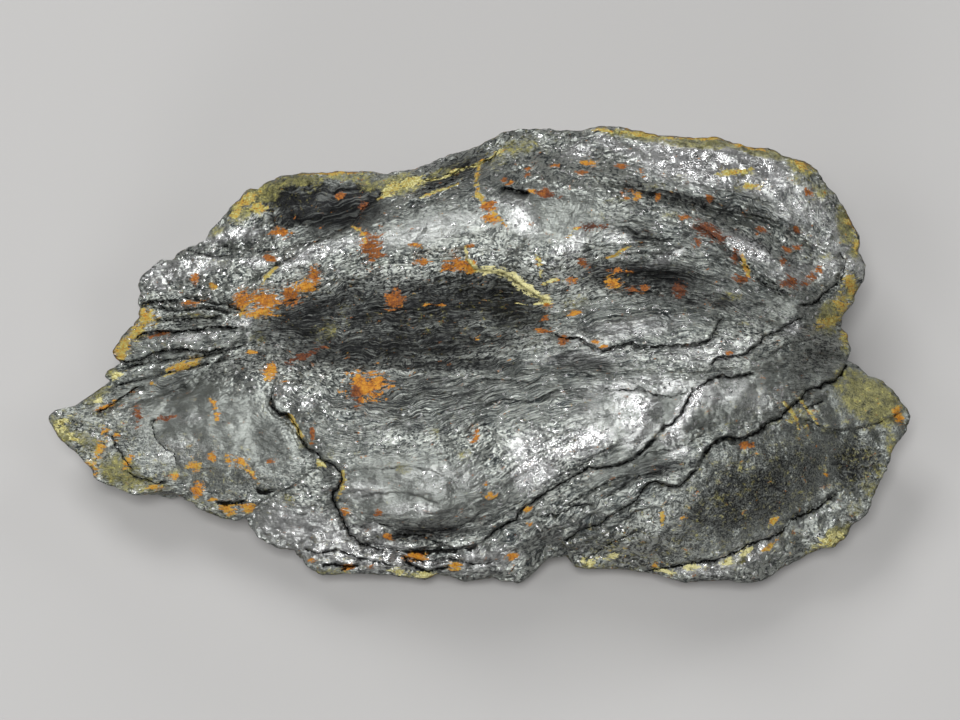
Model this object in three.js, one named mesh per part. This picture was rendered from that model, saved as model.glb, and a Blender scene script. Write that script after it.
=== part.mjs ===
// Graphite hand specimen: one broken lens of foliated graphite that lies on its flat back face.
// Millimetres, +Z up, +X along its length, origin on the resting plane under the middle of its box.

import * as THREE from "three";
import { mergeVertices } from "three/addons/utils/BufferGeometryUtils.js";
import { ImprovedNoise } from "three/addons/math/ImprovedNoise.js";

// Driving dimensions, in millimetres
const LENGTH = 150; // left tip to right tip
const CREST_HEIGHT = 33; // general height of the broad face above the resting plane
const FOOT_LIFT = 0.25; // height of the wall's foot, as a share of the rim's height
const FOOT_TUCK = 0.92; // the foot's distance from the middle, as a share of the rim's
const BACK_LEAN = 0.2; // how far the back wall leans out as it goes down, per millimetre of height
const WALL_BITE = 2.4; // depth of the hollows broken into the wall
const BED_RELIEF = 5.5; // unevenness of the underside around the flat that it rests on
const BED_WEAR = 1.1; // how much of that relief is worn off flat
const HOLLOW_SPAN = 19; // from one hollow of the wall or the underside to the next
const NET_ROWS = 32; // rows of triangles from the middle of the face to its rim

// The viewpoint that the broad face was surveyed from: it looks down on the stone from the front.
const VIEW_ELEVATION = THREE.MathUtils.degToRad(70);
const VIEW_DISTANCE = 620; // from the viewpoint to the middle of the view
const VIEW_MIDDLE = new THREE.Vector3(0.157, -1.745, 16); // the point of the stone that is in mid picture

// The survey is in pixels of the picture, from its top left corner.
const PICTURE_MIDDLE_PX = [480, 360];
const LENGTH_PX = 864; // the stone's length in the picture
const MM_PER_PX = LENGTH / LENGTH_PX;
const POLE_PX = [490, 355]; // the whole outline is seen from here
const POLE_STRETCH = 1.9; // the outline is about this many times as long as it is high

// The outline of the stone, clockwise from its left tip
const OUTLINE_PX = [
  [47, 417], [58, 409], [77, 405], [100, 388], [107, 379], [119, 363], [112, 352], [122, 336],
  [138, 318], [138, 298], [138, 283], [150, 269], [170, 261], [190, 246], [207, 237], [222, 218],
  [236, 201], [249, 189], [272, 178], [300, 173], [340, 171], [388, 174], [418, 168], [450, 155],
  [486, 142], [508, 131], [545, 128], [584, 130], [612, 126], [642, 133], [678, 137], [716, 136],
  [740, 144], [768, 148], [796, 159], [816, 170], [832, 191], [852, 220], [861, 242], [866, 266],
  [858, 290], [849, 311], [840, 325], [850, 342], [847, 358], [868, 376], [890, 389], [911, 418],
  [898, 443], [887, 470], [870, 506], [850, 532], [822, 548], [792, 562], [766, 580], [738, 583],
  [700, 582], [655, 574], [600, 569], [574, 565], [562, 557], [546, 559], [524, 582], [478, 580],
  [436, 575], [398, 576], [340, 575], [306, 568], [288, 549], [260, 539], [246, 518], [216, 516],
  [190, 504], [170, 491], [134, 496], [103, 484], [88, 465], [62, 443],
];

// Height of the rim above the resting plane: [bearing in degrees as seen, 0 to the right, height]
const RIM_HEIGHTS = [
  [0, 18], [25, 22], [50, 25], [90, 26], [125, 25], [150, 21], [170, 16], [186, 12],
  [205, 11], [235, 8], [270, 6.5], [300, 6.5], [325, 9], [345, 14],
];

// How squarely the face meets the rim: [bearing, exponent], with a long slope at the front
const RIM_SQUARENESS = [
  [0, 7], [50, 8], [90, 8], [130, 7], [165, 5], [200, 4], [240, 3.2], [290, 2.8], [335, 4.5],
];

// Folds of the broad face: where, half length and half width in pixels, turn in degrees, height in mm
const FOLDS = [
  { name: "left end, thinner", at: [110, 400], size: [120, 110], turn: 10, rise: -14 },
  { name: "right lobe, lower", at: [905, 430], size: [75, 75], turn: 0, rise: -8 },
  { name: "upper ridge", at: [590, 215], size: [190, 38], turn: -8, rise: 4 },
  { name: "upper left ridge", at: [310, 250], size: [110, 22], turn: 18, rise: 2.5 },
  { name: "broken recess", at: [345, 205], size: [38, 20], turn: 12, rise: -3.5 },
  { name: "trough below the upper ridge", at: [430, 310], size: [150, 26], turn: 8, rise: -3.5 },
  { name: "hollow under the vein", at: [510, 300], size: [42, 20], turn: -20, rise: -1.8 },
  { name: "right trough", at: [745, 225], size: [75, 14], turn: -28, rise: -1.8 },
  { name: "middle ridge", at: [610, 400], size: [150, 52], turn: 14, rise: 3.5 },
  { name: "swell above the right lobe", at: [770, 350], size: [70, 26], turn: 12, rise: 1.8 },
  { name: "lower left swell", at: [215, 425], size: [62, 38], turn: -12, rise: 3 },
  { name: "lower middle swell", at: [415, 480], size: [70, 30], turn: -6, rise: 3 },
  { name: "pocket under the lower swell", at: [430, 540], size: [62, 11], turn: 3, rise: -2 },
  { name: "long fissure", at: [300, 440], size: [52, 8], turn: -60, rise: -1.5 },
  { name: "lower right swell", at: [720, 500], size: [85, 36], turn: 24, rise: 2 },
];

// A value read between listed bearings, round the full circle
function aroundRim(table, bearing) {
  const next = table.findIndex(([listed]) => listed > bearing);
  const [endBearing, endValue] = next < 0 ? [360, table[0][1]] : table[next];
  const [startBearing, startValue] = table[next < 0 ? table.length - 1 : next - 1];
  const share = THREE.MathUtils.smoothstep(bearing, startBearing, endBearing);
  return THREE.MathUtils.lerp(startValue, endValue, share);
}

// Where a ray from the pole leaves the outline, in pixels along it, y up
function outlineReach(ray) {
  let reach = 0;
  OUTLINE_PX.forEach(([u, v], i) => {
    const [nextU, nextV] = OUTLINE_PX[(i + 1) % OUTLINE_PX.length];
    const corner = new THREE.Vector2(u - POLE_PX[0], POLE_PX[1] - v);
    const side = new THREE.Vector2(nextU - u, v - nextV);
    const facing = ray.cross(side);
    if (facing === 0) return;
    const along = corner.cross(side) / facing;
    const share = corner.cross(ray) / facing;
    if (along > reach && share >= 0 && share <= 1) reach = along;
  });
  return reach;
}

// The same outline with its notches smoothed away, which the middle of the face follows
const SMOOTHING_DEGREES = [-18, -12, -6, 0, 6, 12, 18];

function smoothReach(ray) {
  const middle = new THREE.Vector2();
  const turned = SMOOTHING_DEGREES.map((degrees) => {
    return outlineReach(ray.clone().rotateAround(middle, THREE.MathUtils.degToRad(degrees)));
  });
  return turned.reduce((sum, reach) => sum + reach, 0) / turned.length;
}

// The point of space at a given height that is seen at a pixel
const viewUp = new THREE.Vector3(0, Math.sin(VIEW_ELEVATION), Math.cos(VIEW_ELEVATION));
const viewBack = new THREE.Vector3(0, -Math.cos(VIEW_ELEVATION), Math.sin(VIEW_ELEVATION));
const viewPoint = VIEW_MIDDLE.clone().addScaledVector(viewBack, VIEW_DISTANCE);

function seenAt(pixel, height) {
  const sight = VIEW_MIDDLE.clone();
  sight.x += (pixel.x - PICTURE_MIDDLE_PX[0]) * MM_PER_PX;
  sight.addScaledVector(viewUp, (PICTURE_MIDDLE_PX[1] - pixel.y) * MM_PER_PX);
  sight.sub(viewPoint);
  return viewPoint.clone().addScaledVector(sight, (height - viewPoint.z) / sight.z);
}

// The height that one fold adds at a pixel
function foldRise(fold, pixel) {
  const turn = THREE.MathUtils.degToRad(fold.turn);
  const x = pixel.x - fold.at[0];
  const y = fold.at[1] - pixel.y;
  const along = (x * Math.cos(turn) + y * Math.sin(turn)) / fold.size[0];
  const across = (y * Math.cos(turn) - x * Math.sin(turn)) / fold.size[1];
  return fold.rise * Math.exp(-(along ** 2 + across ** 2) / 2);
}

// A point of the broad face: share is 0 at the pole and 1 at the rim
const NOTCHES_FROM = 0.75; // the share at which the face starts to follow the outline's notches

function facePoint(ray, bearing, share) {
  const notched = THREE.MathUtils.smoothstep(share, NOTCHES_FROM, 1);
  const reach = THREE.MathUtils.lerp(smoothReach(ray), outlineReach(ray), notched) * share;
  const pixel = new THREE.Vector2(POLE_PX[0] + ray.x * reach, POLE_PX[1] - ray.y * reach);
  const inside = FOLDS.reduce((height, fold) => height + foldRise(fold, pixel), CREST_HEIGHT);
  const atRim = share ** aroundRim(RIM_SQUARENESS, bearing);
  return seenAt(pixel, THREE.MathUtils.lerp(inside, aroundRim(RIM_HEIGHTS, bearing), atRim));
}

// A point of the wall or the underside: depth is 0 at the rim and 1 under the pole
const WALL_SHARE = 0.3; // the share of the depth that the wall takes
const BED_RIM = 0.22; // the share of the underside that slopes up to the wall's foot
const noise = new ImprovedNoise();

function underPoint(ray, bearing, depth) {
  const rim = facePoint(ray, bearing, 1);
  const wall = Math.min(1, depth / WALL_SHARE);
  const bed = Math.max(0, (depth - WALL_SHARE) / (1 - WALL_SHARE));
  const tone = noise.noise(rim.x / HOLLOW_SPAN, rim.y / HOLLOW_SPAN, wall) + 0.5;
  const bite = (WALL_BITE * tone * Math.sin(Math.PI * wall)) / rim.length();
  const inward = THREE.MathUtils.lerp(1, FOOT_TUCK, wall) * (1 - bed) - bite;
  const backward = BACK_LEAN * rim.z * Math.max(0, ray.y) * wall * (1 - bed);
  const point = new THREE.Vector3(rim.x * inward, rim.y * inward + backward, 0);
  const foot = rim.z * FOOT_LIFT;
  if (bed === 0) {
    point.z = THREE.MathUtils.lerp(rim.z, foot, wall);
    return point;
  }
  const hollow = noise.noise(point.x / HOLLOW_SPAN, point.y / HOLLOW_SPAN, bed);
  const worn = Math.max(0, BED_RELIEF * hollow - BED_WEAR) * Math.min(1, 3 * (1 - bed));
  point.z = Math.max(worn, foot * (1 - THREE.MathUtils.smoothstep(bed, 0, BED_RIM)));
  return point;
}

// The stone: an octahedron's net, whose upper half is laid over the face and its lower half under it.
// Its rows of triangles become rings, and its square middle row becomes the rim.
function stoneGeometry() {
  const net = new THREE.OctahedronGeometry(1, NET_ROWS - 1);
  net.deleteAttribute("normal");
  net.deleteAttribute("uv");
  const geometry = mergeVertices(net);
  const position = geometry.getAttribute("position");
  const knot = new THREE.Vector3();
  for (let i = 0; i < position.count; i++) {
    knot.fromBufferAttribute(position, i);
    knot.divideScalar(knot.manhattanLength());
    const share = Math.min(1, Math.abs(knot.x) + Math.abs(knot.y));
    const quarter = share === 0 ? 0 : (Math.abs(knot.y) / share) * (Math.PI / 2);
    const x = POLE_STRETCH * Math.cos(quarter) * (knot.x < 0 ? -1 : 1);
    const y = Math.sin(quarter) * (knot.y < 0 ? -1 : 1);
    const ray = new THREE.Vector2(x, y).normalize();
    const bearing = THREE.MathUtils.radToDeg(ray.angle()) % 360;
    const above = knot.z >= 0;
    const point = above ? facePoint(ray, bearing, share) : underPoint(ray, bearing, 1 - share);
    position.setXYZ(i, point.x, point.y, point.z);
  }
  geometry.computeBoundingBox();
  const middle = geometry.boundingBox.getCenter(new THREE.Vector3());
  geometry.translate(-middle.x, -middle.y, -geometry.boundingBox.min.z);
  geometry.computeVertexNormals();
  return geometry;
}

const graphite = new THREE.MeshStandardMaterial({ color: 0x5d6064, roughness: 0.42, metalness: 0.75 });
const stone = new THREE.Mesh(stoneGeometry(), graphite);
stone.name = "graphite_specimen";

const specimen = new THREE.Group();
specimen.add(stone);

export default specimen;
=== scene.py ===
# %% [markdown]
# Foliated graphite hand specimen
#
# The real thing is one broken lens of graphite, taken here to be 150 mm long. Graphite grows in sheets, so
# its broad face is folded and streaked like a bundle of wet paper, its edges show the sheets end on, and its
# polished folds shine like pewter while its hollows stay dull. Rust and a yellow-green film sit on it.
# Here the whole stone is one mesh: a simple net is laid over the surveyed shape, the folds, sheet edges and
# cracks are pushed into it, and one layered material is spread over it by masks stored on its points.

import bpy
import numpy as np
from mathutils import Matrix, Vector


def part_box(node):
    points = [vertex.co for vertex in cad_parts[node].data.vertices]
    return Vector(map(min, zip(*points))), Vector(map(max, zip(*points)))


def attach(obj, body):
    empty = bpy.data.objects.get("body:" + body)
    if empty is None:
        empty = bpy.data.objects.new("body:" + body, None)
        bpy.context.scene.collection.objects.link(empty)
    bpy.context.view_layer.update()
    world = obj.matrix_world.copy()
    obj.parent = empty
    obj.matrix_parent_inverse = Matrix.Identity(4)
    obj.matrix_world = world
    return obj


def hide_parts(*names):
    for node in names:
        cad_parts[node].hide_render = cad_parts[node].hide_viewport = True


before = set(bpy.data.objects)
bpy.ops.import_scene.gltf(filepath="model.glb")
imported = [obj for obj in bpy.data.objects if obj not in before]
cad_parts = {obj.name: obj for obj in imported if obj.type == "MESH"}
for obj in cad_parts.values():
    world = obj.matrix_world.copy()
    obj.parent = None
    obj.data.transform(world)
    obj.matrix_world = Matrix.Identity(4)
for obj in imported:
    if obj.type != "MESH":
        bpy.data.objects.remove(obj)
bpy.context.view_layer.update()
NODE = "graphite_specimen"
cad_low, cad_high = (np.array(corner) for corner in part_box(NODE))
MM = 0.001
print("stone's box in mm:", ((cad_high - cad_low) / MM).round(1))

# %% [markdown]
# The survey
#
# A rock has no drawing, so its shape is read from one view, as a map maker reads land from a balloon. Every
# feature below is noted by the pixel where it is seen, with a height in millimetres. Two functions turn
# pixels into points of space and back, so a feature always lands on the stone where the eye found it.

# %% The viewpoint and the two survey functions
LENGTH_MM = 150.0
LENGTH_PX = 864.0
MM_PER_PX = LENGTH_MM / LENGTH_PX
PICTURE_PX = np.array([960.0, 720.0])
VIEW_ELEVATION = np.radians(70)
VIEW_DISTANCE = 620.0
VIEW_MIDDLE = np.array([0.157, -1.745, 16.0])

view_up = np.array([0, np.sin(VIEW_ELEVATION), np.cos(VIEW_ELEVATION)])
view_back = np.array([0, -np.cos(VIEW_ELEVATION), np.sin(VIEW_ELEVATION)])
view_point = VIEW_MIDDLE + VIEW_DISTANCE * view_back


def seen_at(pixels, height):
    """Points in millimetres, at the given heights, that are seen at these pixels."""
    offset = (pixels - PICTURE_PX / 2) * MM_PER_PX
    sight = VIEW_MIDDLE - view_point - offset[:, 1:] * view_up
    sight[:, 0] += offset[:, 0]
    return view_point + sight * ((height - view_point[2]) / sight[:, 2])[:, None]


def as_seen(points):
    """The pixels at which points in millimetres are seen."""
    out = points - VIEW_MIDDLE
    nearer = VIEW_DISTANCE / (VIEW_DISTANCE - out @ view_back)
    right, up = out[:, 0] * nearer, (out @ view_up) * nearer
    return np.stack([right, -up], 1) / MM_PER_PX + PICTURE_PX / 2


# %% [markdown]
# The outline, the rim's height and the large folds
#
# These are the same driving shapes that the plain solid is made from, so the finished stone fills the same
# space. The outline goes clockwise from the left tip.

# %% Survey notes for the large shape
OUTLINE_PX = [
    (47, 417), (51, 413), (58, 409), (70, 408), (84, 400), (100, 388), (110, 381), (106, 376), (108, 370),
    (121, 363), (117, 359), (112, 352), (118, 341), (126, 331), (138, 318), (140, 308), (138, 299),
    (141, 294), (138, 284), (142, 276), (150, 269), (158, 261), (164, 259), (170, 261), (180, 252),
    (190, 246), (205, 240), (210, 230), (222, 218), (232, 207), (241, 197), (246, 190), (252, 188),
    (258, 190), (266, 182), (280, 176), (300, 173), (340, 171), (370, 171), (388, 174), (402, 171),
    (418, 168), (440, 158), (470, 148), (486, 142), (500, 134), (512, 130), (545, 128), (572, 131),
    (602, 126), (612, 126), (632, 130), (662, 135), (678, 137), (700, 139), (716, 136), (730, 141),
    (752, 147), (768, 148), (786, 157), (806, 162), (818, 172), (822, 181), (832, 191), (846, 210),
    (856, 228), (861, 244), (858, 252), (866, 266), (865, 278), (858, 290), (853, 304), (843, 316),
    (840, 327), (848, 336), (850, 345), (847, 360), (860, 367), (868, 376), (882, 380), (898, 398),
    (909, 412), (910, 423), (903, 437), (893, 450), (887, 470), (876, 490), (868, 512), (853, 524),
    (846, 538), (832, 548), (822, 548), (800, 560), (786, 566), (774, 575), (758, 583), (738, 583),
    (730, 580), (700, 582), (686, 583), (655, 574), (622, 569), (590, 569), (575, 567), (573, 561),
    (568, 556), (548, 558), (542, 564), (530, 577), (520, 583), (490, 579), (465, 582), (436, 574),
    (426, 581), (398, 576), (352, 574), (322, 575), (306, 568), (303, 562), (294, 551), (276, 547),
    (260, 539), (248, 524), (246, 516), (238, 521), (222, 519), (197, 508), (195, 503), (184, 499),
    (170, 491), (158, 491), (134, 496), (116, 487), (103, 484), (94, 477), (88, 465), (70, 448),
    (55, 434),
]
RIM_HEIGHTS = [
    (0, 18), (25, 22), (50, 25), (90, 26), (125, 25), (150, 21), (170, 16), (186, 12), (205, 11),
    (235, 8), (270, 6.5), (300, 6.5), (325, 9), (345, 14),
]
RIM_SQUARENESS = [
    (0, 7), (50, 8), (90, 8), (130, 7), (165, 5), (200, 4), (240, 3.2), (290, 2.8), (335, 4.5),
]
CREST_HEIGHT = 33.0
FOLDS = {  # where it is seen, half length and half width in pixels, turn in degrees, rise in millimetres
    "left end, thinner": ((110, 400), (120, 110), 10, -14),
    "right lobe, lower": ((905, 430), (75, 75), 0, -8),
    "upper ridge": ((590, 215), (190, 38), -8, 4),
    "upper left ridge": ((310, 250), (110, 22), 18, 2.5),
    "broken recess": ((345, 205), (38, 20), 12, -3.5),
    "trough below the upper ridge": ((430, 310), (150, 26), 8, -3.5),
    "hollow under the vein": ((510, 300), (42, 20), -20, -1.8),
    "right trough": ((745, 225), (75, 14), -28, -1.8),
    "middle ridge": ((610, 400), (150, 52), 14, 3.5),
    "swell above the right lobe": ((770, 350), (70, 26), 12, 1.8),
    "lower left swell": ((215, 425), (62, 38), -12, 3),
    "lower middle swell": ((415, 480), (70, 30), -6, 3),
    "pocket under the lower swell": ((430, 540), (62, 11), 3, -2),
    "long fissure": ((300, 440), (52, 8), -60, -1.5),
    "lower right swell": ((720, 500), (85, 36), 24, 2),
}
POLE_PX = np.array([490.0, 355.0])
POLE_STRETCH = 1.9

# %% [markdown]
# Noise that repeats itself exactly
#
# Broken rock needs chance, but the stone must come out the same each time. This is gradient noise: a seeded
# table gives each corner of a lattice a direction, and points between the corners blend their slopes.

# %% Seeded noise for any number of points at once
LATTICE = 64
NOISE_GAIN = 1.6  # stretches the noise to about -1 to 1
OCTAVES_SUM = 1.6  # about what the octaves add up to
OCTAVE_SHIFT = 17.3  # keeps the octaves from lining up at the origin
chance = np.random.default_rng(7)
slopes = chance.normal(size=(LATTICE**3, 3)).astype(np.float32)
slopes /= np.linalg.norm(slopes, axis=1, keepdims=True)


def noise(points):
    """Smooth noise from about -1 to 1 at points given as N rows of 3 numbers."""
    corner = np.floor(points).astype(np.int32)
    inside = (points - corner).astype(np.float32)
    fade = inside * inside * inside * (inside * (inside * 6 - 15) + 10)
    total = np.zeros(len(points), np.float32)
    for step in np.ndindex(2, 2, 2):
        at = (corner + step) % LATTICE
        slope = slopes[(at[:, 0] * LATTICE + at[:, 1]) * LATTICE + at[:, 2]]
        out = inside - np.array(step, np.float32)
        part = slope[:, 0] * out[:, 0] + slope[:, 1] * out[:, 1] + slope[:, 2] * out[:, 2]
        for axis in range(3):
            part *= fade[:, axis] if step[axis] else 1 - fade[:, axis]
        total += part
    return total.astype(float) * NOISE_GAIN


def rough(points, octaves=4, ridged=False):
    """Noise with finer noise on it. Ridged noise folds it into sharp crests."""
    total = np.zeros(len(points))
    for octave in range(octaves):
        layer = noise(points * 2**octave + OCTAVE_SHIFT * octave)
        total += (1 - 2 * np.abs(layer) if ridged else layer) / 2**octave
    return total / OCTAVES_SUM


def smoothstep(value, low, high):
    """0 up to low, 1 from high on, and a soft rise between them."""
    share = np.clip((value - low) / (high - low), 0, 1)
    return share * share * (3 - 2 * share)


print("noise at the origin:", noise(np.zeros((1, 3)) + 0.5).round(4))

# %% [markdown]
# The starting net
#
# A sphere would crowd its points at the poles, and a flat grid would leave no edge for the rim. An
# octahedron, which is a sphere of four segments and two rings, has a square belt that can become the rim,
# and cutting its triangles evenly gives rings of points that grow with the distance from the pole.

# %% An octahedron, cut into small triangles, and the half that the viewer sees cut finer again
NET_CUTS = 79
FACE_CUTS = 2

bpy.ops.object.select_all(action="DESELECT")
bpy.ops.mesh.primitive_uv_sphere_add(segments=4, ring_count=2, radius=1)
stone = bpy.context.object
stone.name = "graphite_stone"
bpy.ops.object.mode_set(mode="EDIT")
bpy.ops.mesh.select_all(action="SELECT")
bpy.ops.mesh.subdivide(number_cuts=NET_CUTS)
bpy.ops.object.mode_set(mode="OBJECT")


def select_faces(mesh, chosen):
    """Selects just the chosen faces, given as one truth value for each."""
    mesh.vertices.foreach_set("select", np.zeros(len(mesh.vertices), bool))
    mesh.edges.foreach_set("select", np.zeros(len(mesh.edges), bool))
    mesh.polygons.foreach_set("select", chosen)


middles = np.empty(len(stone.data.polygons) * 3, np.float32)
stone.data.polygons.foreach_get("center", middles)
select_faces(stone.data, middles[2::3] > 0)
bpy.ops.object.mode_set(mode="EDIT")
bpy.ops.mesh.select_mode(type="FACE")
bpy.ops.mesh.subdivide(number_cuts=FACE_CUTS)
bpy.ops.mesh.select_all(action="SELECT")
bpy.ops.mesh.quads_convert_to_tris()
bpy.ops.object.mode_set(mode="OBJECT")


def read_points(mesh):
    """The mesh's points as rows of three numbers."""
    flat = np.empty(len(mesh.vertices) * 3, np.float32)
    mesh.vertices.foreach_get("co", flat)
    return flat.reshape(-1, 3).astype(float)


def write_points(mesh, points):
    mesh.vertices.foreach_set("co", points.astype(np.float32).ravel())
    mesh.update()


knots = read_points(stone.data)
knots /= np.abs(knots).sum(1, keepdims=True)
print("net points:", len(knots), "faces:", len(stone.data.polygons))

# %% Each knot's bearing, its share of the way to the rim, and whether it is on the face
share = np.minimum(1, np.abs(knots[:, 0]) + np.abs(knots[:, 1]))
quarter = np.divide(np.abs(knots[:, 1]), share, out=np.zeros_like(share), where=share > 0) * np.pi / 2
ray = np.stack([
    POLE_STRETCH * np.cos(quarter) * np.where(knots[:, 0] < 0, -1, 1),
    np.sin(quarter) * np.where(knots[:, 1] < 0, -1, 1),
], 1)
ray /= np.linalg.norm(ray, axis=1, keepdims=True)
bearing = np.degrees(np.arctan2(ray[:, 1], ray[:, 0])) % 360
ROUNDING = 1e-6
on_face = knots[:, 2] >= -ROUNDING


def around_rim(table, at):
    """A value read between listed bearings, round the full circle."""
    listed = np.array(table + [(360, table[0][1])], float)
    after = np.clip(np.searchsorted(listed[:, 0], at, side="right"), 1, len(listed) - 1)
    start, end = listed[after - 1], listed[after]
    blend = smoothstep((at - start[:, 0]) / (end[:, 0] - start[:, 0]), 0, 1)
    return start[:, 1] + (end[:, 1] - start[:, 1]) * blend


# %% How far the outline lies from the pole, at every bearing
REACH_STEPS = 7200
reach_bearings = np.arange(REACH_STEPS) * 360 / REACH_STEPS
corners = (np.array(OUTLINE_PX, float) - POLE_PX) * (1, -1)
sides = np.roll(corners, -1, axis=0) - corners


def cross(a, b):
    """The area spanned by two flat directions, which is 0 where they run the same way."""
    return a[..., 0] * b[..., 1] - a[..., 1] * b[..., 0]


turns = np.radians(reach_bearings)
compass = np.stack([np.cos(turns), np.sin(turns)], 1)[:, None, :]
facing = cross(compass, sides)
with np.errstate(divide="ignore"):  # a side that runs the same way as a ray is never met
    along = cross(corners, sides) / facing
    side_share = cross(corners, compass) / facing
met = (along > 0) & (side_share >= 0) & (side_share <= 1)
reach = np.where(met, along, 0).max(1)
SMOOTHING_DEGREES = (-18, -12, -6, 0, 6, 12, 18)
per_degree = REACH_STEPS // 360
soft_reach = np.mean([np.roll(reach, shift * per_degree) for shift in SMOOTHING_DEGREES], axis=0)


def read_reach(values, at):
    """The reach at any bearing, between the ones worked out."""
    return np.interp(at, np.append(reach_bearings, 360), np.append(values, values[0]))


print("reach from the pole in px:", reach.min().round(), "to", reach.max().round())

# %% [markdown]
# Laying the net over the stone
#
# On the face each knot is given a pixel first and a height second, so the whole face is a map of what the
# viewer sees. Below the rim the net goes down a broken wall, and in to the flat that the stone rests on.

# %% The face
RIM_CHIP_PX = 2.4
RIM_CHIP_SPAN_PX = 9.0
NOTCHES_FROM = 0.75  # the share of the way to the rim where the outline's notches begin to show
CHIPS_FROM = 0.9


def ellipse(at, u, v, half_length, half_width, turn=0.0):
    """How far each pixel lies from an ellipse's middle, squared, where its edge is at 1."""
    turn = np.radians(turn)
    x, y = at[:, 0] - u, v - at[:, 1]
    along = (x * np.cos(turn) + y * np.sin(turn)) / half_length
    across = (y * np.cos(turn) - x * np.sin(turn)) / half_width
    return along**2 + across**2


def fold_rise(at, fold):
    """The height that one noted fold adds at each pixel."""
    middle, halves, turn, rise = fold
    return rise * np.exp(-ellipse(at, *middle, *halves, turn) / 2)


def sheet_at(columns, depth):
    """Two columns as points on one sheet of the noise, so that each use has chance of its own."""
    return np.column_stack([columns, np.full(len(columns), depth)])


def flat3(at, span, depth):
    """Pixels as noise points, with lumps about this many pixels long."""
    return sheet_at(at / span, depth)


notched = smoothstep(share, NOTCHES_FROM, 1)
distance = read_reach(soft_reach, bearing) * (1 - notched) + read_reach(reach, bearing) * notched
rim_pixels = POLE_PX + ray * (1, -1) * read_reach(reach, bearing)[:, None]
chips = RIM_CHIP_PX * rough(flat3(rim_pixels, RIM_CHIP_SPAN_PX, 4.5), 3)
distance += chips * smoothstep(share, CHIPS_FROM, 1)
pixels = POLE_PX + ray * (1, -1) * (distance * np.where(on_face, share, 1))[:, None]
height = CREST_HEIGHT + sum(fold_rise(pixels, fold) for fold in FOLDS.values())
rim_height = around_rim(RIM_HEIGHTS, bearing)
height += (rim_height - height) * share ** around_rim(RIM_SQUARENESS, bearing)
points = seen_at(pixels, height)

# %% The wall and the underside
FOOT_LIFT = 0.25  # the foot of the wall, as a share of the rim's height
FOOT_TUCK = 0.92  # and how far out it stands, as a share of the rim's reach
BACK_LEAN = 0.2
WALL_SHARE = 0.3  # the share of the lower net that makes the wall
BED_RIM = 0.22
BED_RELIEF = 5.5
BED_WEAR = 1.1  # worn off the hollows, which leaves the flat that the stone rests on
HOLLOW_SPAN = 19.0

rim = seen_at(rim_pixels + ray * (1, -1) * chips[:, None], rim_height)
depth = np.where(on_face, 0, 1 - share)
wall = np.minimum(1, depth / WALL_SHARE)
bed = np.maximum(0, (depth - WALL_SHARE) / (1 - WALL_SHARE))
inward = (1 + (FOOT_TUCK - 1) * wall) * (1 - bed)
under = rim * inward[:, None]
under[:, 1] += BACK_LEAN * rim_height * np.maximum(0, ray[:, 1]) * wall * (1 - bed)
foot = rim_height * FOOT_LIFT
hollow = noise(np.column_stack([under[:, :2] / HOLLOW_SPAN, bed]))
worn = np.maximum(0, BED_RELIEF * hollow - BED_WEAR) * np.minimum(1, 3 * (1 - bed))
bed_height = np.maximum(worn, foot * (1 - smoothstep(bed, 0, BED_RIM)))
under[:, 2] = np.where(bed > 0, bed_height, rim_height + (foot - rim_height) * wall)
points = np.where(on_face[:, None], points, under)
write_points(stone.data, points * MM)
print("size in mm:", (points.max(0) - points.min(0)).round(1))

# %% [markdown]
# The grain of the sheets
#
# Graphite sheets slid over each other as they folded, and left streaks that all run one way and bend round
# the folds. A few grain lines are noted. A thin plate bent to pass through them gives every point a
# level across the grain, and noise that is long along the grain and narrow across it draws the streaks.

# %% Grain lines, and a plate through them
GRAIN_LINES = {  # level: pixels along one streak, left to right
    170: [(250, 190), (340, 175), (420, 172), (500, 138), (600, 130), (700, 142), (800, 165), (855, 230)],
    216: [(145, 290), (220, 270), (300, 248), (370, 225), (440, 215), (500, 205), (580, 190), (650, 195),
          (720, 215), (780, 250), (850, 275)],
    275: [(130, 330), (210, 315), (280, 300), (350, 285), (430, 275), (500, 272), (550, 280), (620, 262),
          (690, 265), (750, 285), (845, 320)],
    343: [(115, 355), (190, 348), (250, 340), (320, 345), (400, 345), (470, 340), (540, 325), (600, 312),
          (660, 305), (720, 312), (780, 330), (845, 342)],
    387: [(100, 395), (170, 385), (240, 370), (300, 378), (370, 392), (440, 385), (500, 370), (560, 360),
          (620, 352), (690, 350), (760, 355), (845, 362)],
    432: [(70, 430), (150, 430), (230, 425), (290, 425), (350, 440), (420, 435), (480, 415), (540, 395),
          (600, 390), (650, 388), (700, 382), (760, 375), (830, 380)],
    495: [(110, 480), (180, 480), (250, 485), (310, 490), (370, 495), (440, 495), (500, 480), (550, 455),
          (600, 440), (650, 430), (700, 415), (760, 410), (820, 400), (905, 415)],
    545: [(250, 530), (320, 540), (390, 545), (460, 545), (510, 525), (560, 500), (610, 478), (660, 465),
          (710, 462), (770, 455), (830, 460), (890, 460)],
    580: [(310, 577), (400, 578), (500, 580), (560, 560), (620, 535), (680, 525), (740, 520), (800, 510),
          (865, 515)],
}


def bend(squared):
    """What one pin adds to a thin plate's height, by the squared distance from it."""
    return np.where(squared > 0, squared * np.log(np.maximum(squared, 1e-9)), 0)


def squared_distances(a, b):
    return ((a[:, None, :] - b[None, :, :]) ** 2).sum(2)


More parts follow.
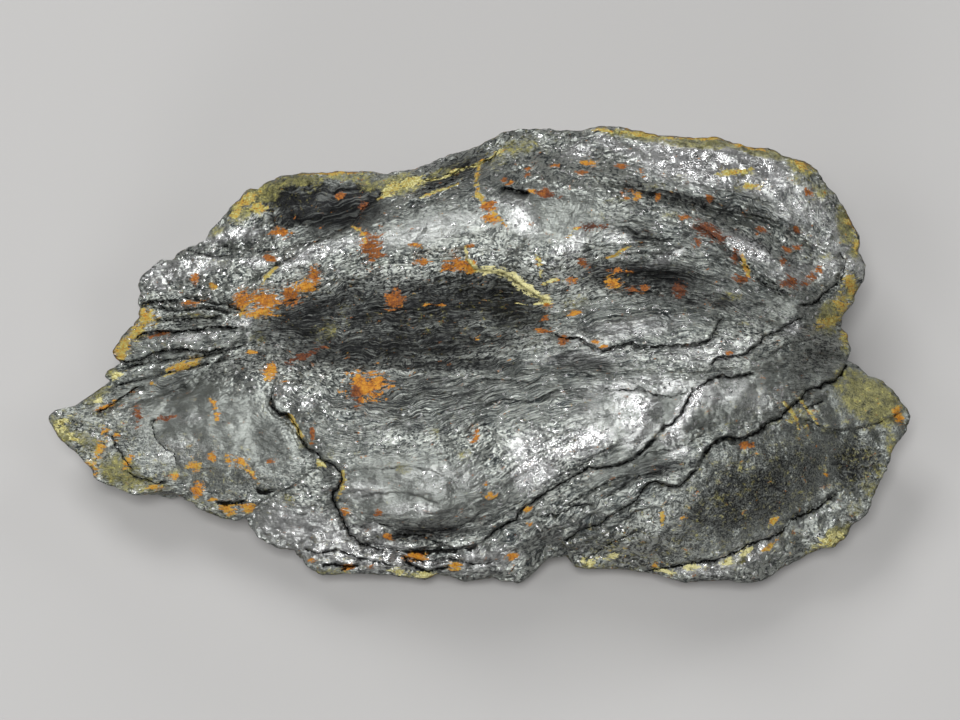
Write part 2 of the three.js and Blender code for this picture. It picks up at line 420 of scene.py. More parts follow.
PIN_UNIT = 100  # pixels in one unit of the plate, which keeps its equations well balanced
STIFFNESS = 0.02  # how far the plate may miss a pin
CHUNK = 20000  # points worked out at a time, which saves memory
RUN_LEAN = 0.35  # the way along the grain leans down the picture by this much
pins = np.array([pixel for line in GRAIN_LINES.values() for pixel in line], float) / PIN_UNIT
levels = np.array([level for level, line in GRAIN_LINES.items() for _ in line], float)
edge = np.column_stack([np.ones(len(pins)), pins])
plate = np.block([
    [bend(squared_distances(pins, pins)) + STIFFNESS * np.eye(len(pins)), edge],
    [edge.T, np.zeros((3, 3))],
])
weights = np.linalg.solve(plate, np.append(levels, [0, 0, 0]))


def grain_level(pixels):
    """The level across the grain, in pixels, at each pixel."""
    at = pixels / PIN_UNIT
    result = np.empty(len(at))
    for part in range(0, len(at), CHUNK):
        some = at[part:part + CHUNK]
        lift = bend(squared_distances(some, pins)) @ weights[:-3]
        result[part:part + CHUNK] = lift + weights[-3] + some @ weights[-2:]
    return result


level = grain_level(pixels)
print("grain levels:", level.min().round(), "to", level.max().round())


def run_along(at):
    """The way along the grain, in pixels, at each pixel."""
    return at[:, 0] + RUN_LEAN * at[:, 1]


def streaks(across, along, octaves, ridged, sheet):
    """Noise drawn out along the grain. Both spans are in pixels."""
    drawn = np.column_stack([level / across, run_along(pixels) / along])
    return rough(sheet_at(drawn, sheet), octaves, ridged)


# %% [markdown]
# Sheet edges and cracks
#
# Where a sheet ends on the face it stands up a little, drops to the sheet below and leaves a dark slit at
# its foot. Each edge is noted as a line of pixels with the lower side on its right hand. A small warp of
# chance roughens the lines, and each fades out at its ends as a torn sheet does.

# %% Distance to a noted line
WARP_PX = 2.3
WARP_SPAN_PX = 6.5
CORNER_TIE = 1e-4  # picks the side of a corner that a point is truly on, where both lie equally near


def roughened(at):
    """Pixels moved a little by chance, so that a noted line comes out ragged."""
    aside = [rough(flat3(at, WARP_SPAN_PX, sheet), 3) for sheet in (8.5, 9.5)]
    return at + WARP_PX * np.column_stack(aside)


warped = roughened(pixels)


def beside(line, at, reach_px):
    """For the points within reach of a line: which they are, how far to its right, how far along it."""
    line = np.array(line, float)
    near = np.all((at > line.min(0) - reach_px) & (at < line.max(0) + reach_px), axis=1)
    near = np.flatnonzero(near)
    some = at[near]
    lengths = np.linalg.norm(np.diff(line, axis=0), axis=1)
    run = np.append(0, np.cumsum(lengths))
    closest = np.full(len(some), np.inf)
    right = np.zeros(len(some))
    along = np.zeros(len(some))
    for start, end, length, before in zip(line, line[1:], lengths, run):
        heading = (end - start) / length
        out = some - start
        ahead = np.clip(out @ heading, 0, length)
        side = heading[0] * out[:, 1] - heading[1] * out[:, 0]
        gap = ((out - ahead[:, None] * heading) ** 2).sum(1) - CORNER_TIE * side * side
        better = gap < closest
        closest = np.where(better, gap, closest)
        right = np.where(better, np.sign(side) * np.sqrt(np.maximum(gap, 0)), right)
        along = np.where(better, (before + ahead) / run[-1], along)
    inside = np.abs(right) < reach_px
    return near[inside], right[inside], along[inside]


# %% The noted edges
EDGES = {  # line, lip in mm, drop in mm, reach of the drop in px, slit depth in mm, slit half width in px
    "long fissure": ([(268, 380), (272, 388), (273, 398), (272, 404), (278, 411), (288, 414), (293, 420),
        (298, 428), (301, 436), (304, 443), (308, 449), (318, 452), (323, 460), (332, 463), (341, 471),
        (343, 478), (340, 488), (334, 493), (335, 501), (339, 509), (343, 517), (347, 526), (352, 535),
        (360, 543), (372, 547), (395, 551)], 0.3, 0.9, 22, 1.6, 1.6),
    "mouth of the lower pocket": ([(362, 543), (380, 546), (405, 550), (420, 549), (440, 548), (456, 548),
        (466, 547), (480, 545)], 0.5, 1.8, 16, 2.6, 4.8),
    "pocket branch": ([(395, 552), (405, 557), (412, 564), (420, 568), (430, 570), (440, 567),
        (450, 564)], 0.2, 0.8, 9, 1.2, 2.4),
    "inside the pocket": ([(392, 533), (425, 535), (440, 541), (450, 546), (464, 549)],
        0.2, 0.6, 12, 0.7, 1.4),
    "main fissure, lower": ([(476, 549), (484, 541), (490, 533), (498, 528), (506, 522), (514, 519),
        (520, 509), (528, 504), (536, 499), (544, 493), (552, 488), (562, 482), (572, 476), (582, 470),
        (590, 466), (598, 467), (610, 466), (618, 464), (626, 461), (634, 458), (642, 450), (650, 442),
        (656, 436), (661, 430)], 0.45, 1.1, 24, 1.5, 1.6),
    "main fissure, upper": ([(656, 436), (661, 430), (664, 425), (670, 424), (676, 418), (682, 410),
        (686, 402), (689, 395), (692, 388), (698, 387), (704, 383), (710, 378), (716, 376), (724, 375),
        (730, 377), (738, 375), (744, 374), (758, 372)], 0.3, 0.6, 16, 1.3, 1.3),
    "crossing crack": ([(690, 393), (680, 395), (672, 397), (662, 396), (654, 396), (646, 391),
        (640, 388), (632, 390), (620, 391), (608, 389), (598, 391)], 0.0, 0.1, 8, 0.6, 0.9),
    "arched crack": ([(538, 331), (548, 332), (562, 336), (568, 338), (580, 337), (584, 340), (590, 344),
        (602, 350), (607, 350), (612, 347), (618, 345), (624, 344), (632, 341), (640, 345), (655, 346),
        (668, 345), (680, 344), (692, 344), (706, 341), (711, 337), (715, 330), (718, 322), (722, 316),
        (729, 310)], 0.3, 0.5, 14, 1.0, 1.1),
    "right lobe edge, left part": ([(554, 542), (562, 540), (572, 536), (580, 530), (590, 527),
        (600, 523), (606, 518), (614, 512), (622, 508), (630, 503), (636, 500), (640, 492), (644, 486),
        (650, 481), (658, 481), (668, 485), (676, 486), (682, 484), (686, 480), (690, 474), (697, 469),
        (702, 457)], 0.3, 0.7, 20, 1.1, 1.3),
    "right lobe edge": ([(697, 469), (702, 457), (706, 450), (712, 443), (720, 438), (728, 436),
        (734, 438), (742, 438), (750, 434), (758, 430), (764, 424), (772, 419), (780, 416), (784, 411),
        (790, 406), (796, 401), (802, 397), (806, 391), (812, 388), (820, 386), (826, 382), (834, 380),
        (840, 374), (844, 366), (848, 356)], 0.5, 2.2, 36, 2.2, 2.1),
    "lobe crack": ([(804, 409), (814, 405), (824, 400)], 0.0, 0.2, 6, 0.8, 1.3),
    "upper right crack": ([(708, 367), (716, 359), (722, 356), (730, 355), (744, 354), (752, 348),
        (758, 344), (764, 336), (772, 333), (780, 331), (786, 325), (792, 322), (800, 317), (808, 315)],
        0.25, 0.5, 12, 0.9, 1.1),
    "rim slit": ([(798, 304), (810, 303), (818, 300), (822, 295), (828, 289), (834, 284), (841, 280)],
        0.2, 0.6, 10, 1.4, 1.5),
    "short torn edge": ([(741, 254), (744, 262), (747, 267), (752, 271), (758, 275), (764, 282),
        (770, 286), (778, 290), (784, 298)], 0.2, 0.4, 9, 0.9, 1.1),
    "lower right gap": ([(636, 575), (652, 569), (664, 567), (682, 564), (692, 562), (704, 561),
        (716, 560), (724, 556), (732, 552), (740, 549), (748, 544), (756, 541), (764, 539), (772, 536),
        (780, 532), (786, 526), (792, 519), (802, 514), (812, 510), (822, 504), (832, 496), (844, 488)],
        0.4, 1.3, 22, 1.5, 1.7),
    "sheet under the notch": ([(538, 517), (556, 514), (576, 505), (596, 503)], 0.2, 0.4, 9, 0.7, 1.1),
    "second sheet under the notch": ([(582, 561), (590, 556), (600, 549), (614, 540), (642, 529)],
        0.2, 0.4, 9, 0.7, 1.1),
    "recess wall": ([(394, 186), (386, 190), (380, 195), (372, 203), (364, 208), (358, 215), (352, 226),
        (345, 229), (335, 232), (328, 236), (320, 240), (312, 244), (303, 250), (295, 256), (285, 261),
        (275, 266), (268, 270), (262, 276), (256, 280), (248, 286), (238, 294)], 0.4, 1.9, 30, 0.5, 1.0),
    "vein edge": ([(465, 246), (467, 256), (469, 262), (474, 267), (480, 270), (490, 271), (500, 272),
        (510, 277), (518, 283), (526, 288), (534, 294), (542, 299), (552, 302)], 0.35, 1.7, 30, 0.4, 1.5),
    "upper hollow": ([(500, 188), (510, 187), (520, 190), (530, 193)], 0.2, 1.0, 12, 0.9, 2.0),
    "upper right fold": ([(598, 176), (614, 181), (640, 190), (670, 197), (700, 205), (735, 212),
        (770, 218), (800, 235), (842, 262)], 0.5, 1.3, 20, 0.4, 1.5),
    "lower right fold": ([(692, 221), (704, 229), (722, 243), (742, 258), (764, 274), (786, 292),
        (800, 303)], 0.4, 0.9, 16, 0.5, 1.3),
    "short fold": ([(622, 224), (632, 230), (644, 236), (656, 239), (676, 238)], 0.2, 0.5, 9, 0.5, 1.2),
    "left slit": ([(140, 304), (152, 301), (164, 299), (178, 300)], 0.3, 0.9, 9, 1.6, 1.7),
    "second left slit": ([(134, 338), (142, 333), (150, 331), (158, 330)], 0.2, 0.6, 7, 1.2, 1.4),
    "top of the leaf": ([(150, 330), (172, 331), (196, 329), (215, 326), (246, 327)],
        0.5, 1.0, 10, 1.0, 1.6),
    "foot of the leaf": ([(118, 359), (128, 361), (138, 360), (148, 355), (158, 351), (166, 349),
        (182, 348), (204, 352), (216, 349), (228, 345)], 0.4, 1.0, 14, 1.1, 1.4),
    "left tip sheet": ([(94, 413), (110, 405), (122, 396), (142, 384)], 0.3, 0.9, 14, 0.9, 1.3),
    "lobe brow": ([(148, 424), (155, 417), (160, 408), (168, 396), (184, 385), (200, 372), (222, 355),
        (240, 337), (252, 322), (264, 312), (282, 303), (298, 296)], 0.3, 0.5, 12, 0.2, 1.2),
    "lobe crack, left": ([(158, 418), (152, 426), (154, 434), (160, 442), (166, 449), (172, 451),
        (176, 458), (177, 468)], 0.0, 0.2, 8, 0.7, 0.9),
    "foot of the lobe": ([(126, 469), (134, 476), (145, 478), (156, 483), (166, 480)],
        0.2, 0.6, 9, 1.0, 1.3),
    "lobe hole": ([(256, 488), (264, 490), (274, 489)], 0.0, 0.4, 8, 1.8, 5.0),
    "broken foot": ([(216, 501), (228, 502), (246, 499)], 0.2, 0.6, 8, 1.4, 3.0),
    "bottom hole": ([(320, 565), (334, 562), (346, 566), (360, 563)], 0.2, 0.7, 8, 1.4, 3.0),
    "top sheet, first": ([(418, 180), (440, 178), (452, 172), (462, 168), (475, 164), (490, 158),
        (502, 148)], 0.25, 0.6, 8, 0.7, 1.2),
    "top sheet, second": ([(424, 190), (436, 187), (444, 184), (460, 173)], 0.2, 0.5, 7, 0.6, 1.1),
    "top sheet, third": ([(400, 205), (428, 200), (442, 190), (468, 178), (482, 162)],
        0.2, 0.5, 8, 0.4, 1.1),
    "rim of the trough": ([(470, 262), (450, 260), (420, 261), (390, 263), (360, 268), (335, 279),
        (310, 293), (288, 304), (262, 318)], 0.5, 1.1, 34, 0.0, 1.5),
    "foot of the recess": ([(352, 226), (325, 240), (292, 247), (262, 252), (236, 250), (206, 243)],
        0.2, 0.6, 14, 0.5, 1.2),
    "sheet under the recess": ([(236, 257), (212, 256), (190, 251), (176, 247)], 0.3, 0.8, 12, 0.6, 1.3),
    "bright sheet": ([(360, 247), (344, 243), (325, 248), (305, 254), (284, 263), (262, 275), (246, 286)],
        0.5, 0.5, 12, 0.2, 1.2),
    "left shelf": ([(232, 292), (210, 288), (186, 289), (160, 290), (142, 292)], 0.3, 0.7, 12, 0.3, 1.2),
    "first left ledge": ([(246, 314), (228, 306), (204, 303), (180, 298)], 0.3, 0.7, 8, 0.8, 1.2),
    "second left ledge": ([(232, 314), (206, 309), (176, 312), (148, 307)], 0.4, 0.8, 8, 0.9, 1.3),
    "third left ledge": ([(222, 318), (200, 319), (172, 322), (150, 320)], 0.3, 0.7, 8, 0.7, 1.2),
    "fourth left ledge": ([(250, 343), (228, 352), (200, 358), (150, 363), (110, 374)],
        0.4, 0.9, 12, 0.7, 1.3),
    "fifth left ledge": ([(230, 360), (190, 369), (150, 378), (104, 390)], 0.4, 0.8, 12, 0.6, 1.3),
    "sixth left ledge": ([(205, 384), (170, 392), (140, 402), (118, 412)], 0.3, 0.6, 10, 0.4, 1.2),
    "back of the lobe": ([(110, 430), (116, 444), (126, 460), (140, 477)], 0.3, 0.7, 10, 0.6, 1.3),
    "foot of the tip": ([(104, 432), (88, 430), (72, 424), (58, 418)], 0.3, 0.8, 12, 0.3, 1.2),
    "lobe hem": ([(322, 462), (304, 478), (286, 490), (266, 500), (248, 511)], 0.5, 0.7, 18, 0.4, 1.2),
    "hem of the lower swell": ([(362, 517), (384, 523), (402, 529), (426, 531), (448, 529), (470, 521),
        (488, 506)], 0.5, 0.9, 14, 0.5, 1.3),
    "fold in the lower swell": ([(352, 500), (372, 494), (398, 492), (420, 496), (440, 505)],
        0.3, 0.5, 12, 0.2, 1.2),
    "second fold in the lower swell": ([(378, 470), (402, 466), (430, 470), (452, 480), (462, 494)],
        0.3, 0.4, 12, 0.2, 1.2),
    "bottom sheet, left": ([(300, 548), (318, 553), (336, 549), (356, 556), (376, 561), (400, 566)],
        0.4, 0.8, 9, 0.8, 1.3),
    "bottom sheet, middle": ([(404, 556), (424, 561), (448, 558), (476, 563), (500, 560)],
        0.3, 0.7, 9, 0.6, 1.3),
    "band below the fold, first": ([(560, 240), (600, 246), (650, 242), (700, 250), (742, 264),
        (780, 284)], 0.3, 0.6, 14, 0.2, 1.2),
    "band below the fold, second": ([(556, 262), (600, 254), (650, 252), (700, 258), (740, 268),
        (775, 286)], 0.3, 0.5, 12, 0.2, 1.2),
    "band below the fold, third": ([(570, 284), (620, 274), (670, 271), (720, 277), (770, 292)],
        0.3, 0.6, 12, 0.2, 1.2),
    "band below the fold, fourth": ([(580, 302), (630, 293), (680, 291), (730, 295), (780, 307)],
        0.3, 0.6, 12, 0.2, 1.2),
    "top of the arch": ([(570, 322), (600, 310), (640, 303), (680, 303), (720, 311), (744, 322)],
        0.4, 0.3, 16, 0.1, 1.2),
    "side of the bright swell": ([(502, 478), (522, 462), (546, 450), (572, 437), (600, 428)],
        0.5, 0.5, 14, 0.1, 1.2),
    "wavy line, upper": ([(470, 380), (500, 378), (530, 383), (552, 372), (580, 372), (600, 378)],
        0.3, 0.5, 8, 0.4, 1.0),
    "wavy line, lower": ([(480, 405), (505, 398), (530, 402), (556, 390), (590, 388)],
        0.3, 0.5, 8, 0.4, 1.0),
    "wavy line, left": ([(400, 398), (430, 392), (460, 396), (490, 388)], 0.2, 0.4, 8, 0.3, 1.0),
    "wrinkle, first": ([(540, 486), (560, 474), (580, 466), (600, 452), (622, 444)],
        0.3, 0.4, 8, 0.4, 1.0),
    "wrinkle, second": ([(560, 508), (584, 494), (606, 482), (630, 474)], 0.3, 0.5, 9, 0.5, 1.1),
    "wrinkle, third": ([(600, 500), (620, 488), (638, 476), (664, 470)], 0.3, 0.5, 9, 0.4, 1.1),
    "wrinkle, fourth": ([(632, 462), (650, 452), (672, 450), (690, 442), (706, 432)],
        0.3, 0.5, 9, 0.4, 1.1),
    "line beside the notch": ([(590, 544), (612, 528), (636, 512), (656, 506)], 0.3, 0.5, 12, 0.4, 1.1),
    "foot of the olive corner": ([(798, 416), (822, 426), (840, 430), (858, 428), (876, 423), (906, 410)],
        0.5, 1.2, 18, 0.5, 1.3),
    "right lobe brow": ([(778, 524), (800, 512), (820, 500), (846, 488)], 0.4, 0.6, 12, 0.3, 1.2),
    "right shoulder": ([(770, 352), (790, 344), (812, 338), (838, 332)], 0.3, 0.6, 12, 0.4, 1.1),
    "knob line": ([(840, 252), (846, 262), (844, 274), (838, 284)], 0.3, 0.8, 8, 0.8, 1.2),
    "top right sheet": ([(600, 158), (636, 162), (666, 174), (700, 184), (742, 196), (790, 206)],
        0.4, 0.6, 14, 0.3, 1.2),
    "second top right sheet": ([(690, 196), (730, 200), (770, 212), (812, 236)], 0.4, 0.6, 12, 0.3, 1.2),
    "top left sheet": ([(520, 140), (500, 150), (482, 170), (472, 190)], 0.4, 0.6, 12, 0.4, 1.2),
}
SWELLS = [  # the smaller folds, noted as FOLDS are
    ((200, 430), (62, 36), -8, 1.6), ((262, 442), (14, 24), 20, -1.0), ((75, 420), (28, 9), -8, 0.9),
    ((180, 386), (50, 7), 18, -1.0), ((190, 322), (46, 5), 5, -1.0), ((205, 274), (40, 8), 8, 0.8),
    ((195, 336), (48, 5), 6, 0.8), ((420, 486), (66, 28), -4, 1.0), ((392, 508), (26, 9), 8, 0.5),
    ((455, 494), (22, 14), 0, 0.5), ((428, 536), (52, 7), 4, -1.0), ((572, 450), (56, 18), 22, 1.4),
    ((638, 408), (24, 30), -15, 1.1), ((690, 408), (26, 9), 55, 0.9), ((655, 428), (26, 5), 50, -0.6),
    ((725, 400), (56, 24), 12, 0.9), ((590, 362), (44, 8), 0, -0.9), ((528, 216), (24, 11), -60, 0.9),
    ((748, 244), (34, 8), -28, 1.0), ((735, 212), (60, 5), -18, -1.0), ((730, 165), (80, 20), -8, 1.2),
    ((854, 265), (10, 12), 0, 1.2), ((872, 398), (34, 24), -30, 1.8), ((850, 462), (26, 18), 0, -0.9),
    ((760, 478), (60, 30), 25, 0.9), ((300, 532), (36, 16), -22, 0.9), ((330, 502), (12, 26), 20, -0.6),
    ((395, 563), (40, 6), -5, 0.9), ((500, 558), (36, 12), 10, 0.9), ((740, 566), (50, 9), 12, 1.0),
    ((450, 168), (40, 5), 25, -0.7), ((300, 188), (50, 8), 4, 0.9), ((345, 210), (34, 12), 10, -0.8),
    ((440, 222), (70, 14), 12, 0.9), ((450, 310), (60, 12), 6, 0.8), ((380, 345), (80, 10), 0, -0.8),
    ((380, 380), (70, 12), -4, 0.8), ((330, 420), (26, 18), 30, 0.8), ((470, 430), (60, 12), 14, -0.8),
    ((640, 325), (70, 9), 8, 0.9), ((800, 345), (34, 12), 20, 0.8), ((790, 290), (34, 9), -20, 0.7),
    ((120, 440), (20, 16), -30, 0.8), ((130, 482), (30, 8), -10, -0.6), ((230, 500), (30, 8), -15, 0.7),
    ((615, 545), (40, 12), 25, 0.7), ((560, 520), (44, 10), 30, 0.8), ((660, 505), (40, 9), 28, -0.6),
]

# %% Raising the lips, dropping the sheet below and cutting the slits
EDGE_SOFTNESS_PX = 1.1
LIP_REACH_PX = 6
SLIT_PX = 1.1
DROPS_SEEN = 3  # a drop is followed to this many times its reach
LIP_SHARE, DROP_SHARE, SLIT_SHARE = 0.8, 0.75, 0.6


def ends_fade(way, over):
    """0 at both ends of a line and 1 from this share of the way on."""
    return smoothstep(np.minimum(way, 1 - way), 0, over)


def along_line(way, waves, row, sheet):
    """Noise along one line, of which each row of the table has its own."""
    return noise(np.column_stack([way * waves, np.full(len(way), row), np.full(len(way), sheet)]))


edge_relief = np.zeros(len(pixels))
for row, (line, lip, drop, drop_reach, slit, half_width) in enumerate(EDGES.values()):
    near, right, way = beside(line, warped, DROPS_SEEN * drop_reach)
    below = smoothstep(right, -EDGE_SOFTNESS_PX, EDGE_SOFTNESS_PX)
    raised = lip * (1 - below) * np.exp(-np.abs(right) / LIP_REACH_PX)
    dropped = drop * below * np.exp(-np.abs(right) / drop_reach)
    cut = np.exp(-(((right - SLIT_PX) / SLIT_PX) ** 2))
    strength = ends_fade(way, 0.08) * (1 + 0.6 * along_line(way, 7, row, 0.0))
    edge_relief[near] += strength * (LIP_SHARE * raised - DROP_SHARE * dropped - SLIT_SHARE * slit * cut)
print("edges:", len(EDGES), "deepest cut in mm:", edge_relief.min().round(2))

# %% [markdown]
# Folds, torn sheets, grit and blocky facets
#
# Between the noted edges the face is a patchwork. Most of it is wrinkled along the grain, with thin sheets
# torn off in steps. Some swells are calm and only gritty. Along the upper edge and at the ends the graphite
# is broken in small flat blocks, which flash in the light one by one.

# %% Where the face is calm, gritty or blocky
def cover(at, patches):
    """The strongest patch at each pixel. A patch is full in its middle and a third as strong on its edge."""
    most = np.zeros(len(at))
    for *shape, strength in patches:
        most = np.maximum(most, strength * np.exp(-(ellipse(at, *shape) ** 2)))
    return most


# each row is a patch: pixel, half length, half width, turn in degrees, strength
CALM = [
    (215, 435, 95, 55, -10, 0.85), (345, 205, 50, 28, 10, 0.9), (770, 485, 110, 60, 25, 0.8),
    (870, 410, 50, 50, 0, 0.9), (410, 490, 80, 40, 0, 0.75), (545, 215, 60, 30, 0, 0.7),
    (640, 410, 60, 34, 10, 0.75), (640, 455, 60, 20, 32, 0.6), (730, 400, 60, 24, 20, 0.7),
    (430, 225, 60, 18, 15, 0.6), (290, 540, 60, 30, -20, 0.8),
]
GRITTY = [
    (770, 490, 120, 70, 25, 1), (865, 440, 55, 80, 0, 1), (190, 470, 110, 40, -15, 0.8),
    (90, 430, 50, 50, 0, 1), (270, 195, 60, 25, 15, 1), (500, 150, 60, 20, 15, 0.7),
    (320, 560, 90, 30, 0, 0.8), (640, 550, 90, 40, 0, 1), (750, 420, 60, 30, 20, 0.7),
    (830, 240, 40, 70, 15, 0.7), (130, 340, 40, 50, 0, 0.6), (430, 310, 120, 30, 5, 0.4),
]
BLOCKY = [
    (715, 165, 85, 26, -8, 1), (600, 146, 60, 12, -8, 0.8), (235, 240, 60, 16, 15, 0.9),
    (168, 274, 40, 18, 20, 0.9), (400, 561, 70, 12, -3, 0.9), (300, 532, 40, 28, -20, 0.7),
    (800, 275, 40, 16, 0, 0.5), (320, 250, 50, 10, 18, 0.6), (735, 560, 60, 12, 14, 1),
    (690, 430, 26, 40, -40, 0.4), (360, 545, 90, 30, -6, 0.8), (480, 560, 40, 16, 0, 0.7),
    (330, 510, 30, 30, 0, 0.6), (560, 470, 60, 14, 24, 0.5), (640, 230, 50, 20, 0, 0.15),
    (800, 500, 60, 30, 20, 0.3),
]
STREAKY = [
    (410, 320, 170, 44, 4, 0.5), (540, 400, 90, 26, 8, 1), (420, 400, 110, 34, 4, 0.9),
    (690, 262, 130, 38, -20, 0.7), (640, 320, 90, 26, 4, 1), (640, 465, 60, 26, 30, 0.8),
    (470, 180, 40, 24, 25, 0.9), (350, 430, 50, 30, 30, 0.7), (560, 370, 100, 26, 6, 0.9),
    (740, 200, 110, 16, -20, 0.8), (180, 345, 70, 16, 8, 0.6), (150, 385, 50, 16, 20, 0.8),
    (610, 510, 80, 24, 30, 0.8), (330, 225, 60, 12, 20, 0.5), (400, 222, 60, 14, 14, 0.4),
    (215, 430, 70, 40, -10, 0.55), (410, 480, 80, 36, 0, 0.55), (720, 405, 80, 30, 12, 0.5),
    (440, 228, 80, 16, 14, 0.5), (560, 215, 60, 30, 0, 0.45), (500, 520, 60, 40, 40, 0.5),
    (300, 530, 50, 24, -20, 0.4),
]
calm = cover(pixels, CALM)
gritty = cover(pixels, GRITTY)
blocky = cover(pixels, BLOCKY)
lively = 1 - calm

# %% Wrinkles and torn sheets along the grain
def terraces(field, steps, sharpness=0.72):
    """Turns a smooth field into flat steps with steep edges, as torn sheets make."""
    scaled = field * steps
    base = np.floor(scaled)
    return (base + smoothstep(scaled - base, sharpness, 1)) / steps


# rise in mm, spans across and along the grain in px, octaves, ridged, noise sheet, share lost where calm
WRINKLES = [
    (1.3, 40, 130, 2, False, 1.5, 0.3),
    (0.4, 13, 70, 3, True, 2.5, 0.75),
    (0.12, 6, 34, 2, True, 3.5, 0.85),
]
TORN_MM = 0.8
relief = sum(fold_rise(warped, swell) for swell in SWELLS)
for rise, across, along, octaves, ridged, sheet, lost in WRINKLES:
    relief += rise * streaks(across, along, octaves, ridged, sheet) * (1 - lost * calm)
torn = streaks(17, 60, 4, False, 5.5)
relief += TORN_MM * terraces(torn, 3) * (0.3 + 0.7 * lively)
chipped = rough(flat3(warped, 24, 12.5), 4)
relief += TORN_MM * terraces(chipped, 2.5) * (0.35 + 0.65 * gritty)
relief += 1.1 * rough(flat3(pixels, 38, 6.5), 4)
relief += 0.25 * rough(flat3(warped, 9, 7.5), 3, ridged=True) * (0.4 + 0.6 * gritty)
rim_zone = smoothstep(share, 0.88, 1)
rim_bites = terraces(rough(flat3(warped, 13, 9.5), 4), 2.5)
relief -= 1.5 * rim_zone * np.maximum(0, 0.4 + rim_bites)
print("relief in mm:", relief.min().round(1), "to", relief.max().round(1))

# %% Blocky facets: each cell of a shaken grid is a plane with a tilt of its own
BLOCK_PX = 11
BLOCK_SLOPE = 0.05
GRID = 128
block_chance = np.random.default_rng(3)
block_shake = block_chance.random((GRID, GRID, 2))
block_tilt = block_chance.normal(size=(GRID, GRID, 2))
cell = np.floor(warped / BLOCK_PX).astype(int)
nearest = np.full(len(pixels), np.inf)
facet = np.zeros(len(pixels))
for step in np.ndindex(3, 3):
    at = cell + step - (1, 1)
    row, column = (at % GRID).T
    out = warped - (at + block_shake[row, column]) * BLOCK_PX
    gap = (out**2).sum(1)
    closer = gap < nearest
    nearest = np.where(closer, gap, nearest)
    facet = np.where(closer, (out * block_tilt[row, column]).sum(1), facet)
relief += blocky * BLOCK_SLOPE * facet

# %% Pushing the relief into the net, towards the viewer, so that nothing slides in the picture
WALL_FADE = 0.6
fade = np.where(on_face, 1, 1 - smoothstep(wall, 0, WALL_FADE))
SUNK_MM = 2.0  # keeps the highest crests inside the solid's box
points += ((relief + edge_relief - SUNK_MM * (1 - rim_zone)) * fade)[:, None] * view_back

# %% [markdown]
# The broken wall and the underside
#
# Round the rim the sheets are seen end on, as thin ledges that run along the wall. The underside has broken
# off along one sheet: it is flat where it is worn, and pitted in the hollows beside that.

# %% Ledges of the wall, cut in from the rim
WALL_CUT_MM = 1.1
around = np.column_stack([rim[:, 0], rim[:, 1], np.zeros(len(rim))])
sheet_level = points[:, 2] + 0.1 * rim[:, 1] - 0.06 * rim[:, 0] + 1.2 * noise(around / 15 + 5)


def wall_noise(length, thickness, octaves):
    """Noise in ledges, of this length round the wall and this thickness up it, in millimetres."""
    return rough(np.column_stack([rim[:, :2] / length, sheet_level / thickness]), octaves)


ledge = 1.3 * terraces(wall_noise(13, 2.6, 4), 2) + 0.5 * wall_noise(9, 0.9, 3)
depth_in = WALL_CUT_MM + ledge + 0.3 * wall_noise(2.5, 0.7, 2)
wall_zone = smoothstep(wall, 0, 0.12) * (1 - smoothstep(bed, 0.02, 0.3))
push = np.where(on_face, 0, np.maximum(0, depth_in)) * wall_zone
inwards = -rim[:, :2] / np.linalg.norm(rim[:, :2], axis=1, keepdims=True)
points[:, :2] += inwards * push[:, None]

# %% Pits in the hollows of the underside, which leave the resting flat as it is
PITS_MM = 0.9
bed_zone = smoothstep(bed, 0.0, 0.15)
pitted = rough(flat3(points[:, :2], 9, 3.3), 5)
lift = np.where(on_face, 0, np.maximum(0, pitted))
free = smoothstep(points[:, 2], 0.05, 0.8)
points[:, 2] += PITS_MM * lift * bed_zone * free
points[:, 2] = np.maximum(points[:, 2], 0)
write_points(stone.data, points * MM)
print("size in mm:", (points.max(0) - points.min(0)).round(1))

# %% [markdown]
# Fewer triangles
#
# The fine net was needed to cut the cracks cleanly, but a calm stretch of stone needs few triangles. The
# Decimate modifier joins points where the surface is nearly flat, and keeps them along the edges.

# %% Thinning the net, the hidden side more than the face
FACE_TRIANGLES = 158000
HIDDEN_TRIANGLES = 38000


def thin_part(mesh, chosen, wanted):
    """Joins points of the chosen faces until about this many of the faces are left."""
    if chosen.sum() <= wanted:
        return
    select_faces(mesh, chosen)
    bpy.ops.object.mode_set(mode="EDIT")
    bpy.ops.mesh.select_mode(type="FACE")
    bpy.ops.mesh.decimate(ratio=wanted / chosen.sum())
    bpy.ops.object.mode_set(mode="OBJECT")


def polygon_points(mesh):
    """The three points of each triangle."""
    flat = np.empty(len(mesh.loops), np.int32)
    mesh.loops.foreach_get("vertex_index", flat)
    return flat.reshape(-1, 3)


of_face = on_face[polygon_points(stone.data)].all(1)
print("triangles before thinning:", of_face.sum(), "on the face,", (~of_face).sum(), "hidden")
stone.data.attributes.new("of_face", "BOOLEAN", "FACE").data.foreach_set("value", of_face)
thin_part(stone.data, ~of_face, HIDDEN_TRIANGLES)
of_face = np.empty(len(stone.data.polygons), bool)
stone.data.attributes["of_face"].data.foreach_get("value", of_face)
print("after the hidden side:", of_face.sum(), "on the face,", (~of_face).sum(), "hidden")
thin_part(stone.data, of_face, FACE_TRIANGLES)
stone.data.attributes.remove(stone.data.attributes["of_face"])
bpy.ops.object.shade_smooth()
print("triangles:", len(stone.data.polygons))
